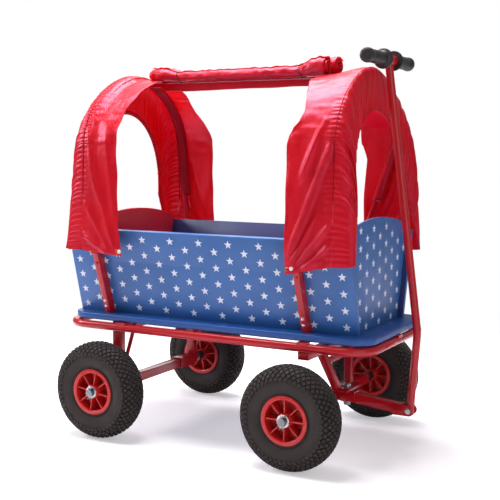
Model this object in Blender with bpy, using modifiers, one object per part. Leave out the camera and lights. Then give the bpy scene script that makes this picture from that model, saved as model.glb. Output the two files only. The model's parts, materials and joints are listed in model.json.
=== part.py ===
"""Hand-pulled wagon with an open box body, air tyres, a steered front axle and a cloth canopy.

X points forwards to the pull handle, +Y is the wagon's left side and +Z is up. Sizes are metres.
Lengths are worked out in a wheelbase frame, whose origin is on the floor midway between the axles.
One empty then shifts that frame, so that the model's origin is under the middle of its outline.
"""

import math

import bmesh
import bpy
from mathutils import Matrix, Vector

# Clearances, and a reach that passes right through any piece
THROUGH = 0.1
GAP = 0.0003
RUNNING = 0.0004
SLIDING = 0.0005

# Wheels and axles
WHEELBASE = 0.5646
TYRE_RADIUS = 0.130
TYRE_WIDTH = 0.080
TYRE_WALL = 0.006
TRACK = 0.5508
BEAD_RADIUS = 0.0523
RIM_RADIUS = 0.061
RIM_WIDTH = 0.0716
RIM_WALL = 0.0115
RIM_LIP = 0.003
RIM_LIP_TAPER = 0.001
WEB_THICK = 0.008
RIB_COUNT = 8
RIB_THICK = 0.003
RIB_HEIGHT = 0.022
HUB_RADIUS = 0.022
AXLE_RADIUS = 0.010
AXLE_OVERHANG = 0.0138
COLLAR_RADIUS = 0.014
WASHER_RADIUS = 0.0165
WASHER_THICK = 0.004
TYRE_STEPS = 24
RIM_STEPS = 20

# Axle beams and what carries the rear one
BEAM_SIDE = 0.025
BEAM_BORE = 0.021
BEAM_LENGTH = 0.400
BRACKET_SIDE = 0.025
SADDLE_LENGTH = 0.072
SADDLE_WALL = 0.003
BRACE_WIDTH = 0.010
BRACE_THICK = 0.005
BRACE_TOP_REACH = 0.0603
BRACE_FOOT_HEIGHT = 0.150
CROSS_DEPTH = 0.030
CROSS_WIDTH = 0.020

# Frame ring and deck board
RING_TUBE = 0.011
RING_Z = 0.289
RING_FRONT = 0.4495
RING_REAR = -0.445
RING_HALF_WIDTH = 0.212
RING_CORNER = 0.070
LUG_LENGTH = 0.028
LUG_WIDTH = 0.018
BOARD_THICK = 0.018
BOARD_GAP = 0.0030
BOARD_FRONT = 0.4545
BOARD_REAR = -0.437
BOARD_HALF_WIDTH = 0.210
BOARD_CORNER = 0.060

# Box body, whose panels stand in grooves in the board
PANEL_THICK = 0.012
PANEL_SEAT = 0.002
PANEL_LEAN = math.radians(14.6)
SIDE_FRONT = 0.409
SIDE_REAR = -0.428
SIDE_FOOT_Y = 0.1607
SIDE_SLOPE = 0.2375
FRONT_FACE = 0.3951
REAR_FACE = -0.372
END_CREST = 0.5986
END_ARCH_RADIUS = 0.764
END_CORNER = 0.024

# Uprights that carry the canopy
UPRIGHT_WIDTH = 0.016
UPRIGHT_DEPTH = 0.025
UPRIGHT_TILT = math.radians(2.75)
UPRIGHT_LENGTH = 0.200
FRONT_UPRIGHT_X = 0.2771
REAR_UPRIGHT_X = -0.3207
UPRIGHT_BOLT_DROP = 0.050
BOLT_RADIUS = 0.0025
BOLT_HEAD_RADIUS = 0.0048
BOLT_HEAD_HEIGHT = 0.003
SOCKET_RADIUS = 0.0112
SOCKET_LAP = 0.027
SOCKET_RISE = 0.030
SOCKET_DEPTH = 0.040

# Steering head, kingpin and drawbar
CROSS_FRONT_X = 0.285
CROSS_FRONT_LENGTH = 0.424
CROSS_FRONT_DEPTH = 0.030
CROSS_FRONT_HEIGHT = 0.020
KINGPIN_X = 0.3135
KINGPIN_RADIUS = 0.006
KINGPIN_HEAD_RADIUS = 0.010
KINGPIN_HEAD_HEIGHT = 0.008
HEAD_LENGTH = 0.060
HEAD_WIDTH = 0.100
HEAD_THICK = 0.005
HEAD_SHIFT = 0.0085
THRUST_RADIUS = 0.020
THRUST_THICK = 0.0045
STRUT_SIDE = 0.020
STRUT_TOP_Y = 0.091
STRUT_FOOT_Y = 0.038
STRUT_TOP_X = 0.278
STRUT_FOOT_X = 0.302
TIE_HEIGHT = 0.016
TIE_THICK = 0.012
TIE_DROP = 0.022
PIVOT_BLOCK_LENGTH = 0.046
PIVOT_BLOCK_WIDTH = 0.040
NUT_RADIUS = 0.0105
NUT_HEIGHT = 0.010
NUT_WASHER_RADIUS = 0.0175
NUT_WASHER_THICK = 0.003
PIVOT_X = 0.487
PIVOT_Z = 0.1115
DRAWBAR_STOP = 0.020
EAR_THICK = 0.004
EAR_RADIUS = 0.0135
EAR_LENGTH = 0.045
PIVOT_BOLT_RADIUS = 0.004
PIVOT_HEAD_RADIUS = 0.0075
PIVOT_HEAD_HEIGHT = 0.006

# Pull handle
HANDLE_TUBE = 0.010
HANDLE_FOOT = 0.0105
HANDLE_LOWER = 0.200
HANDLE_LEAN_LOW = math.radians(4.2)
HANDLE_LEAN_HIGH = math.radians(-7.6)
HANDLE_BEND_RADIUS = 0.160
GRIP_AXIS_Z = 0.992
T_BAR_RADIUS = 0.0135
T_BAR_CORE = 0.008
T_BAR_MIDDLE = 0.0325
GRIP_RADIUS = 0.0165
GRIP_FLANGE = 0.025
GRIP_FLANGE_THICK = 0.006
GRIP_NECK = 0.122
GRIP_KNOB = 0.018
GRIP_END = 0.152

# Canopy
CLOTH = 0.0016
CLOTH_EASE = 0.0005
ARCH_HALF_WIDTH = 0.233
ARCH_SPRING = 0.780
ARCH_POWER = 1.8
ARCH_CREST = 0.974
FOOT_HALF_WIDTH = 0.2478
FOOT_Z = 0.480
HOOP_TUBE = 0.007
HOOP_FRONT_X = 0.355
HOOP_REAR_X = -0.345
RIDGE_RADIUS = 0.006
BAND_CLOTH = 0.0015
BAND_DROP = 0.026
ROLL_RIGHT_ENDS = (-0.278, 0.258)
ROLL_LEFT_ENDS = (-0.258, 0.268)
ROLL_REAR_RADIUS = 0.0215
ROLL_FRONT_RADIUS = 0.0248
ROLL_SETTLE = 0.0005
ROLL_TIE_REAR = -0.190
ROLL_TIE_FRONT = 0.185
FRONT_EDGE = 0.250
FRONT_SEAM = 0.370
FRONT_HEM_CREST = 0.379
FRONT_HEM_FOOT = (0.426, 0.229)
FRONT_EDGE_FOOT_Z = 0.470
REAR_EDGE = -0.240
REAR_SEAM = -0.360
REAR_HEM_CREST = -0.388
REAR_HEM_FOOT = (-0.412, 0.251)
REAR_EDGE_FOOT_Z = 0.487
HEM_HALF_WIDTH = 0.186
HEM_SPRING = 0.630
HEM_CREST = 0.868
HEM_POWER = 2.0
HEM_FOOT_Z = 0.500
SKIRT_BELLY = 0.008
GATHERS = 9
GATHER_DEPTH = 0.0035
FOLD_HEIGHT = 0.005
FOLD_WIDTH = 0.020
COVER_COLUMNS = 36

# Values that follow from the sizes above
BEAM_Z = TYRE_RADIUS
AXLE_X = WHEELBASE / 2
WHEEL_Y = TRACK / 2
RIM_OUTER_Y = WHEEL_Y + RIM_WIDTH / 2
RIM_INNER_Y = WHEEL_Y - RIM_WIDTH / 2
RING_TOP = RING_Z + RING_TUBE
BOARD_BOTTOM = RING_TOP + BOARD_GAP + GAP
BOARD_TOP = BOARD_BOTTOM + BOARD_THICK
BEAM_TOP = BEAM_Z + BEAM_SIDE / 2
BEAM_BOTTOM = BEAM_Z - BEAM_SIDE / 2
BRACKET_Y = RING_HALF_WIDTH - RING_TUBE - GAP - BRACKET_SIDE / 2
HOOP_INSET = CLOTH + CLOTH_EASE + HOOP_TUBE
HOOP_BOTTOM = ARCH_CREST - HOOP_INSET - HOOP_TUBE
RIDGE_Z = HOOP_BOTTOM - GAP - RIDGE_RADIUS
RIDGE_CLOTH_TOP = RIDGE_Z + RIDGE_RADIUS + GAP + CLOTH + GAP
ROLL_REAR = min(ROLL_RIGHT_ENDS[0], ROLL_LEFT_ENDS[0])
ROLL_FRONT = max(ROLL_RIGHT_ENDS[1], ROLL_LEFT_ENDS[1])
ROLL_GROWTH = (ROLL_FRONT_RADIUS - ROLL_REAR_RADIUS) / (ROLL_FRONT - ROLL_REAR)
CROSS_FRONT_TOP = RING_Z - RING_TUBE - GAP
CROSS_FRONT_BOTTOM = CROSS_FRONT_TOP - CROSS_FRONT_HEIGHT
THRUST_BOTTOM = BEAM_TOP + GAP
HEAD_BOTTOM = THRUST_BOTTOM + THRUST_THICK + GAP
HEAD_TOP = HEAD_BOTTOM + HEAD_THICK
UPRIGHT_BOLT_RISE = UPRIGHT_LENGTH - UPRIGHT_BOLT_DROP
UPRIGHT_TOP = BOARD_TOP + GAP + UPRIGHT_LENGTH * math.cos(UPRIGHT_TILT) * math.cos(PANEL_LEAN)
SOCKET_FOOT = UPRIGHT_TOP - SOCKET_LAP
SOCKET_TOP = UPRIGHT_TOP + SOCKET_RISE
SOCKET_FLOOR = SOCKET_TOP - SOCKET_DEPTH
# How far down its leg the cloth passes the sockets' tops, and the socket that clears it there
SOCKET_SHARE = (ARCH_SPRING - SOCKET_TOP) / (ARCH_SPRING - FOOT_Z)
LEG_Y = ARCH_HALF_WIDTH + (FOOT_HALF_WIDTH - ARCH_HALF_WIDTH) * SOCKET_SHARE
SOCKET_Y = LEG_Y - CLOTH - GAP - SOCKET_RADIUS
PIVOT_SLOPE = math.atan2(BEAM_Z - PIVOT_Z, PIVOT_X - AXLE_X - BEAM_SIDE / 2)

# Colours as linear red, green, blue, then roughness and metallic
FINISHES = {
    "red_enamel": ((0.56, 0.012, 0.014), 0.32, 0.0),
    "blue_board": ((0.045, 0.125, 0.34), 0.45, 0.0),
    "red_board": ((0.50, 0.014, 0.020), 0.45, 0.0),
    "red_nylon": ((0.62, 0.010, 0.012), 0.42, 0.0),
    "black_rubber": ((0.030, 0.026, 0.025), 0.80, 0.0),
    "black_plastic": ((0.022, 0.020, 0.021), 0.45, 0.0),
    "red_plastic": ((0.58, 0.020, 0.014), 0.40, 0.0),
    "zinc": ((0.62, 0.61, 0.60), 0.35, 1.0),
    "dark_steel": ((0.10, 0.10, 0.11), 0.45, 1.0),
    "hoop_steel": ((0.30, 0.30, 0.31), 0.40, 1.0),
}


def clear_scene():
    """Removes whatever the file holds before the model is made."""
    for item in list(bpy.data.objects):
        bpy.data.objects.remove(item, do_unlink=True)


def new_collection(name):
    group = bpy.data.collections.new(name)
    bpy.context.scene.collection.children.link(group)
    return group


def make_materials():
    """One Principled material for each finish."""
    made = {}
    for name, (colour, roughness, metallic) in FINISHES.items():
        material = bpy.data.materials.new(name)
        material.use_nodes = True
        shader = material.node_tree.nodes["Principled BSDF"]
        shader.inputs["Base Color"].default_value = (*colour, 1.0)
        shader.inputs["Roughness"].default_value = roughness
        shader.inputs["Metallic"].default_value = metallic
        made[name] = material
    return made


clear_scene()
PARTS = new_collection("hand_pulled_wagon")
HELPERS = new_collection("cutters_and_joiners")
MATERIALS = make_materials()


def add_empty(name, location=(0, 0, 0), rotation=(0, 0, 0), parent=None):
    """A reference point that pieces are placed from."""
    empty = bpy.data.objects.new(name, None)
    empty.empty_display_size = 0.03
    empty.location = location
    empty.rotation_euler = rotation
    empty.parent = parent
    PARTS.objects.link(empty)
    return empty


def finish(obj, colour, parent, smooth=None):
    """Puts a piece in the part's collection with its material; smooth is a crease angle in degrees."""
    obj.parent = parent
    PARTS.objects.link(obj)
    obj.data.materials.append(MATERIALS[colour])
    if smooth is not None and obj.type == "MESH":
        obj.data.shade_smooth()
        obj.data.set_sharp_from_angle(angle=math.radians(smooth))
    return obj


def helper(obj, parent):
    """Marks an object as a tool that cuts or joins, and is no piece itself."""
    obj.parent = parent
    obj.hide_render = True
    obj.display_type = "WIRE"
    HELPERS.objects.link(obj)
    return obj


def box_mesh(name, size, centre=(0, 0, 0)):
    """A closed box with its real size in the mesh."""
    mesh = bpy.data.meshes.new(name)
    shape = bmesh.new()
    bmesh.ops.create_cube(shape, size=1.0)
    bmesh.ops.scale(shape, vec=Vector(size), verts=shape.verts)
    bmesh.ops.translate(shape, vec=Vector(centre), verts=shape.verts)
    shape.to_mesh(mesh)
    shape.free()
    return mesh


def boxes_mesh(name, boxes):
    """Several boxes, given as (size, centre), in one mesh."""
    mesh = bpy.data.meshes.new(name)
    shape = bmesh.new()
    for size, centre in boxes:
        made = bmesh.ops.create_cube(shape, size=1.0)["verts"]
        bmesh.ops.scale(shape, vec=Vector(size), verts=made)
        bmesh.ops.translate(shape, vec=Vector(centre), verts=made)
    shape.to_mesh(mesh)
    shape.free()
    return mesh


def cylinder_mesh(name, radius, length, sides=16):
    """A closed cylinder along Z, centred on the origin."""
    mesh = bpy.data.meshes.new(name)
    shape = bmesh.new()
    bmesh.ops.create_cone(
        shape, cap_ends=True, segments=sides, radius1=radius, radius2=radius, depth=length
    )
    shape.to_mesh(mesh)
    shape.free()
    return mesh


def place(mesh, location=(0, 0, 0), rotation=(0, 0, 0)):
    obj = bpy.data.objects.new(mesh.name, mesh)
    obj.location = location
    obj.rotation_euler = rotation
    return obj


def add_box(name, size, location, colour, parent, rotation=(0, 0, 0)):
    return finish(place(box_mesh(name, size), location, rotation), colour, parent)


def add_cylinder(name, radius, length, location, rotation, colour, parent, sides=16):
    mesh = cylinder_mesh(name, radius, length, sides)
    return finish(place(mesh, location, rotation), colour, parent, smooth=40)


def add_turned(name, profile, steps, location, rotation, colour, parent):
    """A piece turned about its local Z from a closed profile of (radius, height) points.

    The profile runs down its outer side. Points on the axis are allowed at its two ends.
    """
    mesh = bpy.data.meshes.new(name)
    shape = bmesh.new()
    points = [shape.verts.new((radius, 0, height)) for radius, height in profile]
    open_ends = profile[0][0] == 0 and profile[-1][0] == 0
    for first, second in zip(points, points[1:]):
        shape.edges.new((first, second))
    if not open_ends:
        shape.edges.new((points[-1], points[0]))
    shape.to_mesh(mesh)
    shape.free()
    obj = place(mesh, location, rotation)
    turn = obj.modifiers.new("turn", "SCREW")
    turn.axis = "Z"
    turn.steps = steps
    turn.render_steps = steps
    turn.use_merge_vertices = True
    turn.merge_threshold = 0.00005
    turn.use_smooth_shade = True
    return finish(obj, colour, parent)


def curve_object(name, points, cyclic=False, flat=False):
    curve = bpy.data.curves.new(name, "CURVE")
    curve.dimensions = "2D" if flat else "3D"
    spline = curve.splines.new("POLY")
    spline.points.add(len(points) - 1)
    for target, point in zip(spline.points, points):
        target.co = (*point, 0, 1) if flat else (*point, 1)
    spline.use_cyclic_u = cyclic
    return bpy.data.objects.new(name, curve)


def tube_curve(name, points, radius, sides=2, cyclic=False):
    """A round tube along a path, with closed ends."""
    obj = curve_object(name, points, cyclic)
    obj.data.bevel_depth = radius
    obj.data.bevel_resolution = sides
    obj.data.use_fill_caps = not cyclic
    return obj


def plate_curve(name, outline, thickness):
    """A flat plate from its outline in the local XY plane, thickened both ways along Z."""
    obj = curve_object(name, outline, cyclic=True, flat=True)
    obj.data.fill_mode = "BOTH"
    obj.data.extrude = thickness / 2
    return obj


def as_mesh(curve_obj):
    """The same shape as a closed mesh, which Booleans can take."""
    bpy.context.scene.collection.objects.link(curve_obj)
    bpy.context.view_layer.update()
    graph = bpy.context.evaluated_depsgraph_get()
    mesh = bpy.data.meshes.new_from_object(curve_obj.evaluated_get(graph))
    name = curve_obj.name
    matrix = curve_obj.matrix_world.copy()
    bpy.data.objects.remove(curve_obj, do_unlink=True)
    mesh.name = name
    mesh.materials.clear()
    shape = bmesh.new()
    shape.from_mesh(mesh)
    bmesh.ops.remove_doubles(shape, verts=shape.verts, dist=0.00001)
    shape.to_mesh(mesh)
    shape.free()
    obj = bpy.data.objects.new(name, mesh)
    obj.matrix_world = matrix
    return obj


def combine(obj, tool, operation, name):
    """Cuts a helper out of a piece, or joins it on."""
    step = obj.modifiers.new(name, "BOOLEAN")
    step.operation = operation
    step.object = tool
    step.solver = "EXACT"


def arc(centre, radius, start, end, steps):
    """Points on an arc, angles in degrees."""
    found = []
    for index in range(steps + 1):
        angle = math.radians(start + (end - start) * index / steps)
        found.append(
            (centre[0] + radius * math.cos(angle), centre[1] + radius * math.sin(angle))
        )
    return found


def round_rectangle(rear, front, half_width, corner, steps):
    """Outline of a rectangle with round corners, anticlockwise from above."""
    points = []
    inner = half_width - corner
    points += arc((front - corner, inner), corner, 0, 90, steps)
    points += arc((rear + corner, inner), corner, 90, 180, steps)
    points += arc((rear + corner, -inner), corner, 180, 270, steps)
    points += arc((front - corner, -inner), corner, 270, 360, steps)
    return points


def side_name(side):
    return "left" if side > 0 else "right"


def handle_path():
    """Centre line of the handle tube in the XZ plane from its pivot, with a round bend."""
    low = Vector((math.sin(HANDLE_LEAN_LOW), math.cos(HANDLE_LEAN_LOW)))
    high = Vector((math.sin(HANDLE_LEAN_HIGH), math.cos(HANDLE_LEAN_HIGH)))
    corner = low * HANDLE_LOWER
    turn = HANDLE_LEAN_LOW - HANDLE_LEAN_HIGH
    setback = HANDLE_BEND_RADIUS * math.tan(turn / 2)
    start = corner - low * setback
    # The bend's centre lies behind the tube.
    centre = start + Vector((-low.y, low.x)) * HANDLE_BEND_RADIUS
    top_length = (GRIP_AXIS_Z - PIVOT_Z - corner.y) / high.y
    points = [low * -HANDLE_FOOT, start]
    bend_steps = 6
    for index in range(1, bend_steps):
        lean = HANDLE_LEAN_LOW - turn * index / bend_steps
        points.append(
            centre + Vector((math.cos(lean), -math.sin(lean))) * HANDLE_BEND_RADIUS
        )
    points.append(corner + high * setback)
    points.append(corner + high * top_length)
    return points, centre.x + HANDLE_BEND_RADIUS


HANDLE_POINTS, HANDLE_REACH = handle_path()
FRONT_REACH = PIVOT_X + HANDLE_REACH + HANDLE_TUBE
REAR_REACH = RING_REAR - RING_TUBE
CENTRE_X = (FRONT_REACH + REAR_REACH) / 2

WAGON = add_empty("wagon_frame", (-CENTRE_X, 0, 0))
STEERING = add_empty("steering_axis", (KINGPIN_X, 0, 0), parent=WAGON)
HANDLE = add_empty("handle_axis", (PIVOT_X - KINGPIN_X, 0, PIVOT_Z), parent=STEERING)
CANOPY = add_empty("canopy_frame", parent=WAGON)


def make_frame_ring():
    """The bent tube under the board, with the lugs that the board rests on."""
    outline = round_rectangle(
        RING_REAR, RING_FRONT, RING_HALF_WIDTH, RING_CORNER, 7
    )
    path = [(x, y, 0) for x, y in outline]
    ring = as_mesh(tube_curve("frame_ring", path, RING_TUBE, cyclic=True))
    ring.location = (0, 0, RING_Z)
    height = RING_TUBE + BOARD_GAP
    lugs = []
    for side in (1, -1):
        for x in (CROSS_FRONT_X, -AXLE_X + LUG_LENGTH):
            centre = (x, side * RING_HALF_WIDTH, height / 2)
            lugs.append(((LUG_LENGTH, LUG_WIDTH, height), centre))
    for x in (RING_FRONT, RING_REAR):
        lugs.append(((LUG_WIDTH, LUG_LENGTH, height), (x, 0, height / 2)))
    lug_tool = helper(place(boxes_mesh("ring_lugs", lugs), (0, 0, RING_Z)), WAGON)
    finish(ring, "red_enamel", WAGON, smooth=40)
    combine(ring, lug_tool, "UNION", "lugs")


def make_cross_members():
    """The bars across the frame that carry the struts and tie the rear brackets."""
    front_z = CROSS_FRONT_TOP - CROSS_FRONT_HEIGHT / 2
    add_box(
        "front_cross_member",
        (CROSS_FRONT_DEPTH, CROSS_FRONT_LENGTH, CROSS_FRONT_HEIGHT),
        (CROSS_FRONT_X, 0, front_z),
        "red_enamel",
        WAGON,
    )
    rear_length = 2 * (BRACKET_Y - BRACKET_SIDE / 2 - GAP)
    rear_z = BOARD_BOTTOM - GAP - CROSS_DEPTH / 2
    add_box(
        "rear_cross_member",
        (CROSS_WIDTH, rear_length, CROSS_DEPTH),
        (-AXLE_X, 0, rear_z),
        "red_enamel",
        WAGON,
    )


def make_rear_brackets():
    """Each side's post from the axle beam to the board, and its flat brace."""
    foot = BEAM_TOP + GAP
    top = BOARD_BOTTOM - GAP
    for side in (1, -1):
        add_box(
            f"rear_bracket_{side_name(side)}",
            (BRACKET_SIDE, BRACKET_SIDE, top - foot),
            (-AXLE_X, side * BRACKET_Y, (top + foot) / 2),
            "red_enamel",
            WAGON,
        )
        post_face = -AXLE_X + BRACKET_SIDE / 2 + GAP
        top_x = -AXLE_X + BRACE_TOP_REACH
        run = top_x - post_face
        rise = top - BRACE_FOOT_HEIGHT
        length = math.hypot(run, rise)
        # Widths of the strip where its ends are cut upright and level
        foot_cut = BRACE_WIDTH * length / run
        top_cut = BRACE_WIDTH * length / rise
        outline = [
            (post_face, BRACE_FOOT_HEIGHT),
            (top_x, top),
            (top_x - top_cut, top),
            (post_face, BRACE_FOOT_HEIGHT + foot_cut),
        ]
        brace = plate_curve(f"rear_brace_{side_name(side)}", outline, BRACE_THICK)
        brace.location = (0, side * BRACKET_Y, 0)
        brace.rotation_euler = (math.radians(90), 0, 0)
        finish(brace, "red_enamel", WAGON)


def add_beam(name, x, parent):
    """A square axle beam with its bore."""
    beam = add_box(
        name, (BEAM_SIDE, BEAM_LENGTH, BEAM_SIDE), (x, 0, BEAM_Z), "red_enamel", parent
    )
    bore = box_mesh(f"{name}_bore", (BEAM_BORE, BEAM_LENGTH + 0.02, BEAM_BORE))
    combine(beam, helper(place(bore, (x, 0, BEAM_Z)), parent), "DIFFERENCE", "bore")


def make_saddles():
    """Sleeves over the rear beam beside the brackets."""
    outer = BEAM_SIDE + 2 * (GAP + SADDLE_WALL)
    inner = BEAM_SIDE + 2 * GAP
    centre_y = BRACKET_Y - BRACKET_SIDE / 2 - GAP - SADDLE_LENGTH / 2
    for side in (1, -1):
        name = f"axle_saddle_{side_name(side)}"
        spot = (-AXLE_X, side * centre_y, BEAM_Z)
        saddle = add_box(name, (outer, SADDLE_LENGTH, outer), spot, "red_enamel", WAGON)
        bore = box_mesh(f"{name}_bore", (inner, SADDLE_LENGTH + 0.02, inner))
        combine(saddle, helper(place(bore, spot), WAGON), "DIFFERENCE", "bore")


def add_axle(name, x, parent):
    """A round axle with a collar inside each wheel."""
    end = RIM_OUTER_Y + AXLE_OVERHANG
    collar_in = max(BEAM_LENGTH / 2, BRACKET_Y + BRACKET_SIDE / 2) + GAP
    collar_out = RIM_INNER_Y - GAP
    half = [
        (AXLE_RADIUS, end),
        (AXLE_RADIUS, collar_out),
        (COLLAR_RADIUS, collar_out),
        (COLLAR_RADIUS, collar_in),
        (AXLE_RADIUS, collar_in),
    ]
    mirrored = [(radius, -height) for radius, height in reversed(half)]
    profile = [(0, end)] + half + mirrored + [(0, -end)]
    turned_y = (math.radians(-90), 0, 0)
    add_turned(name, profile, 16, (x, 0, TYRE_RADIUS), turned_y, "dark_steel", parent)


def tyre_profile():
    """Section of the tyre, open to the rim, with its flats at the true radius."""
    grow = 1 / math.cos(math.pi / TYRE_STEPS)
    half = TYRE_WIDTH / 2
    seat = RIM_WIDTH / 2 - RIM_LIP - RIM_LIP_TAPER - GAP
    outer = [
        (TYRE_RADIUS, 0.014),
        (TYRE_RADIUS - 0.0065, 0.030),
        (TYRE_RADIUS - 0.028, half),
        (RIM_RADIUS + 0.014, half - 0.001),
        (RIM_RADIUS + GAP, seat),
        (BEAD_RADIUS, seat),
    ]
    inner = [
        (BEAD_RADIUS, seat - TYRE_WALL),
        (RIM_RADIUS + 0.004, seat - TYRE_WALL),
        (TYRE_RADIUS - 0.040, half - TYRE_WALL),
        (TYRE_RADIUS - TYRE_WALL, 0.020),
    ]
    upper = inner[::-1]
    lower_outer = [(radius, -height) for radius, height in outer]
    lower_inner = [(radius, -height) for radius, height in inner]
    loop = outer[::-1]
    # Down the outer side from the upper bead to the lower one, then back up inside.
    section = loop + lower_outer + lower_inner + upper
    return [(radius * grow, height) for radius, height in section]


def rim_profile():
    """Section of the rim: outer barrel, web and hub in one."""
    half = RIM_WIDTH / 2
    lip = RIM_LIP
    barrel = RIM_RADIUS - RIM_WALL
    seat = BEAD_RADIUS - 0.0008
    web = WEB_THICK / 2
    bore = (AXLE_RADIUS + RUNNING) / math.cos(math.pi / RIM_STEPS)
    return [
        (barrel, half),
        (RIM_RADIUS, half),
        (RIM_RADIUS, half - lip),
        (seat, half - lip - RIM_LIP_TAPER),
        (seat, lip + RIM_LIP_TAPER - half),
        (RIM_RADIUS, lip - half),
        (RIM_RADIUS, -half),
        (barrel, -half),
        (barrel, -web),
        (HUB_RADIUS, -web),
        (HUB_RADIUS, -half),
        (bore, -half),
        (bore, half),
        (HUB_RADIUS, half),
        (HUB_RADIUS, web),
        (barrel, web),
    ]


def rib_mesh():
    """The spokes on the outer side of the web, which run into the hub and the barrel."""
    mesh = bpy.data.meshes.new("rim_ribs")
    shape = bmesh.new()
    inner = HUB_RADIUS - 0.003
    outer = RIM_RADIUS - RIM_WALL + 0.001
    low = WEB_THICK / 2 - 0.002
    for index in range(RIB_COUNT):
        made = bmesh.ops.create_cube(shape, size=1.0)["verts"]
        size = Vector((outer - inner, RIB_THICK, RIB_HEIGHT + 0.002))
        bmesh.ops.scale(shape, vec=size, verts=made)
        centre = Vector(((outer + inner) / 2, 0, low + size.z / 2))
        bmesh.ops.translate(shape, vec=centre, verts=made)
        turn = Matrix.Rotation(math.tau * (index + 0.5) / RIB_COUNT, 3, "Z")
        bmesh.ops.rotate(shape, cent=(0, 0, 0), matrix=turn, verts=made)
    shape.to_mesh(mesh)
    shape.free()
    return mesh


def make_wheels():
    """Four wheels, each a tyre, a rim and a washer outside it."""
    tyre = tyre_profile()
    rim = rim_profile()
    ribs = rib_mesh()
    washer_bore = AXLE_RADIUS + RUNNING
    washer_face = RIM_WIDTH / 2 + GAP
    washer = [
        (washer_bore, washer_face + WASHER_THICK),
        (WASHER_RADIUS, washer_face + WASHER_THICK),
        (WASHER_RADIUS, washer_face),
        (washer_bore, washer_face),
    ]
    half_step = math.pi / TYRE_STEPS
    for end, x, parent, shift in (
        ("front", AXLE_X, STEERING, KINGPIN_X),
        ("rear", -AXLE_X, WAGON, 0),
    ):
        for side in (1, -1):
            label = f"{end}_{side_name(side)}"
            hub = add_empty(
                f"{label}_wheel_axis", (x - shift, side * WHEEL_Y, TYRE_RADIUS), parent=parent
            )
            turn = (math.radians(-90 * side), half_step, 0)
            add_turned(f"tyre_{label}", tyre, TYRE_STEPS, (0, 0, 0), turn, "black_rubber", hub)
            body = add_turned(f"rim_{label}", rim, RIM_STEPS, (0, 0, 0), turn, "red_plastic", hub)
            rib_tool = place(ribs.copy(), (0, 0, 0), turn)
            rib_tool.name = f"ribs_{label}"
            combine(body, helper(rib_tool, hub), "UNION", "ribs")
            add_turned(f"hub_washer_{label}", washer, 16, (0, 0, 0), turn, "zinc", hub)


def make_deck_board():
    outline = round_rectangle(
        BOARD_REAR, BOARD_FRONT, BOARD_HALF_WIDTH, BOARD_CORNER, 6
    )
    board = plate_curve("deck_board", outline, BOARD_THICK)
    board.location = (0, 0, BOARD_BOTTOM + BOARD_THICK / 2)
    board = finish(as_mesh(board), "blue_board", WAGON)
    # Each panel's foot stands in a groove, so the floor inside is a face of its own.
    inner = end_foot_half() + GAP
    outer = SIDE_FOOT_Y + GAP
    deep = PANEL_SEAT * 2
    side_size = (SIDE_FRONT - SIDE_REAR + GAP * 2, outer - inner, deep)
    for side in (1, -1):
        groove = box_mesh(f"side_groove_{side_name(side)}", side_size)
        spot = ((SIDE_FRONT + SIDE_REAR) / 2, side * (outer + inner) / 2, BOARD_TOP)
        combine(board, helper(place(groove, spot), WAGON), "DIFFERENCE", f"groove {side_name(side)}")
    end_size = (PANEL_THICK + GAP * 2, outer + inner, deep)
    for end, x in (("front", FRONT_FACE - PANEL_THICK / 2), ("rear", REAR_FACE + PANEL_THICK / 2)):
        groove = helper(place(box_mesh(f"{end}_groove", end_size), (x, 0, BOARD_TOP)), WAGON)
        combine(board, groove, "DIFFERENCE", f"groove {end}")


def side_frames():
    """For each side an empty on the panel's outer foot line: local Y is outwards, Z is up the slope.

    The right side's frame is turned half round, so its local X points backwards.
    """
    frames = {}
    for side in (1, -1):
        turned = 0 if side > 0 else math.pi
        frames[side] = add_empty(
            f"{side_name(side)}_panel_frame",
            (0, side * SIDE_FOOT_Y, BOARD_TOP + GAP),
            (-PANEL_LEAN, 0, turned),
            WAGON,
        )
    return frames


def upright_places():
    """Name, side and foot X of the four uprights."""
    for end, x in (("front", FRONT_UPRIGHT_X), ("rear", REAR_UPRIGHT_X)):
        for side in (1, -1):
            yield f"{end}_{side_name(side)}", side, x


def make_side_panels(frames):
    """Leaning boards whose foot is cut level, with a hole for each upright's bolt."""
    length = SIDE_FRONT - SIDE_REAR
    middle = (SIDE_FRONT + SIDE_REAR) / 2
    level_cut = PANEL_THICK * math.tan(PANEL_LEAN)
    seat = PANEL_SEAT / math.cos(PANEL_LEAN)
    # The inner foot reaches further down, because the cut is level and the board leans.
    outline = [
        (0, -seat),
        (0, SIDE_SLOPE),
        (-PANEL_THICK, SIDE_SLOPE),
        (-PANEL_THICK, -level_cut - seat),
    ]
    for side, frame in frames.items():
        panel = plate_curve(f"side_panel_{side_name(side)}", outline, length)
        # The outline's X runs along the panel's normal and its Y up the slope.
        turn = Matrix(((0, 0, 1), (1, 0, 0), (0, 1, 0)))
        panel.matrix_world = Matrix.Translation((side * middle, 0, 0)) @ turn.to_4x4()
        panel = as_mesh(panel)
        finish(panel, "blue_board", frame)
        for label, place_side, x in upright_places():
            if place_side == side:
                drill_for_bolt(panel, label, frame, x * side, side)


def bolt_spot(local_x, side):
    """Where the bolt of an upright crosses the panel's outer face, in the panel's frame."""
    shift = -side * math.sin(UPRIGHT_TILT) * UPRIGHT_BOLT_RISE
    return (local_x + shift, 0, math.cos(UPRIGHT_TILT) * UPRIGHT_BOLT_RISE)


def drill_for_bolt(piece, label, frame, local_x, side):
    sides = 12
    radius = (BOLT_RADIUS + RUNNING) / math.cos(math.pi / sides)
    reach = UPRIGHT_DEPTH + PANEL_THICK + 0.02
    drill = cylinder_mesh(f"{piece.name}_drill_{label}", radius, reach * 2, sides)
    tool = place(drill, bolt_spot(local_x, side), (math.radians(90), 0, 0))
    combine(piece, helper(tool, frame), "DIFFERENCE", f"bolt hole {label}")


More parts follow.
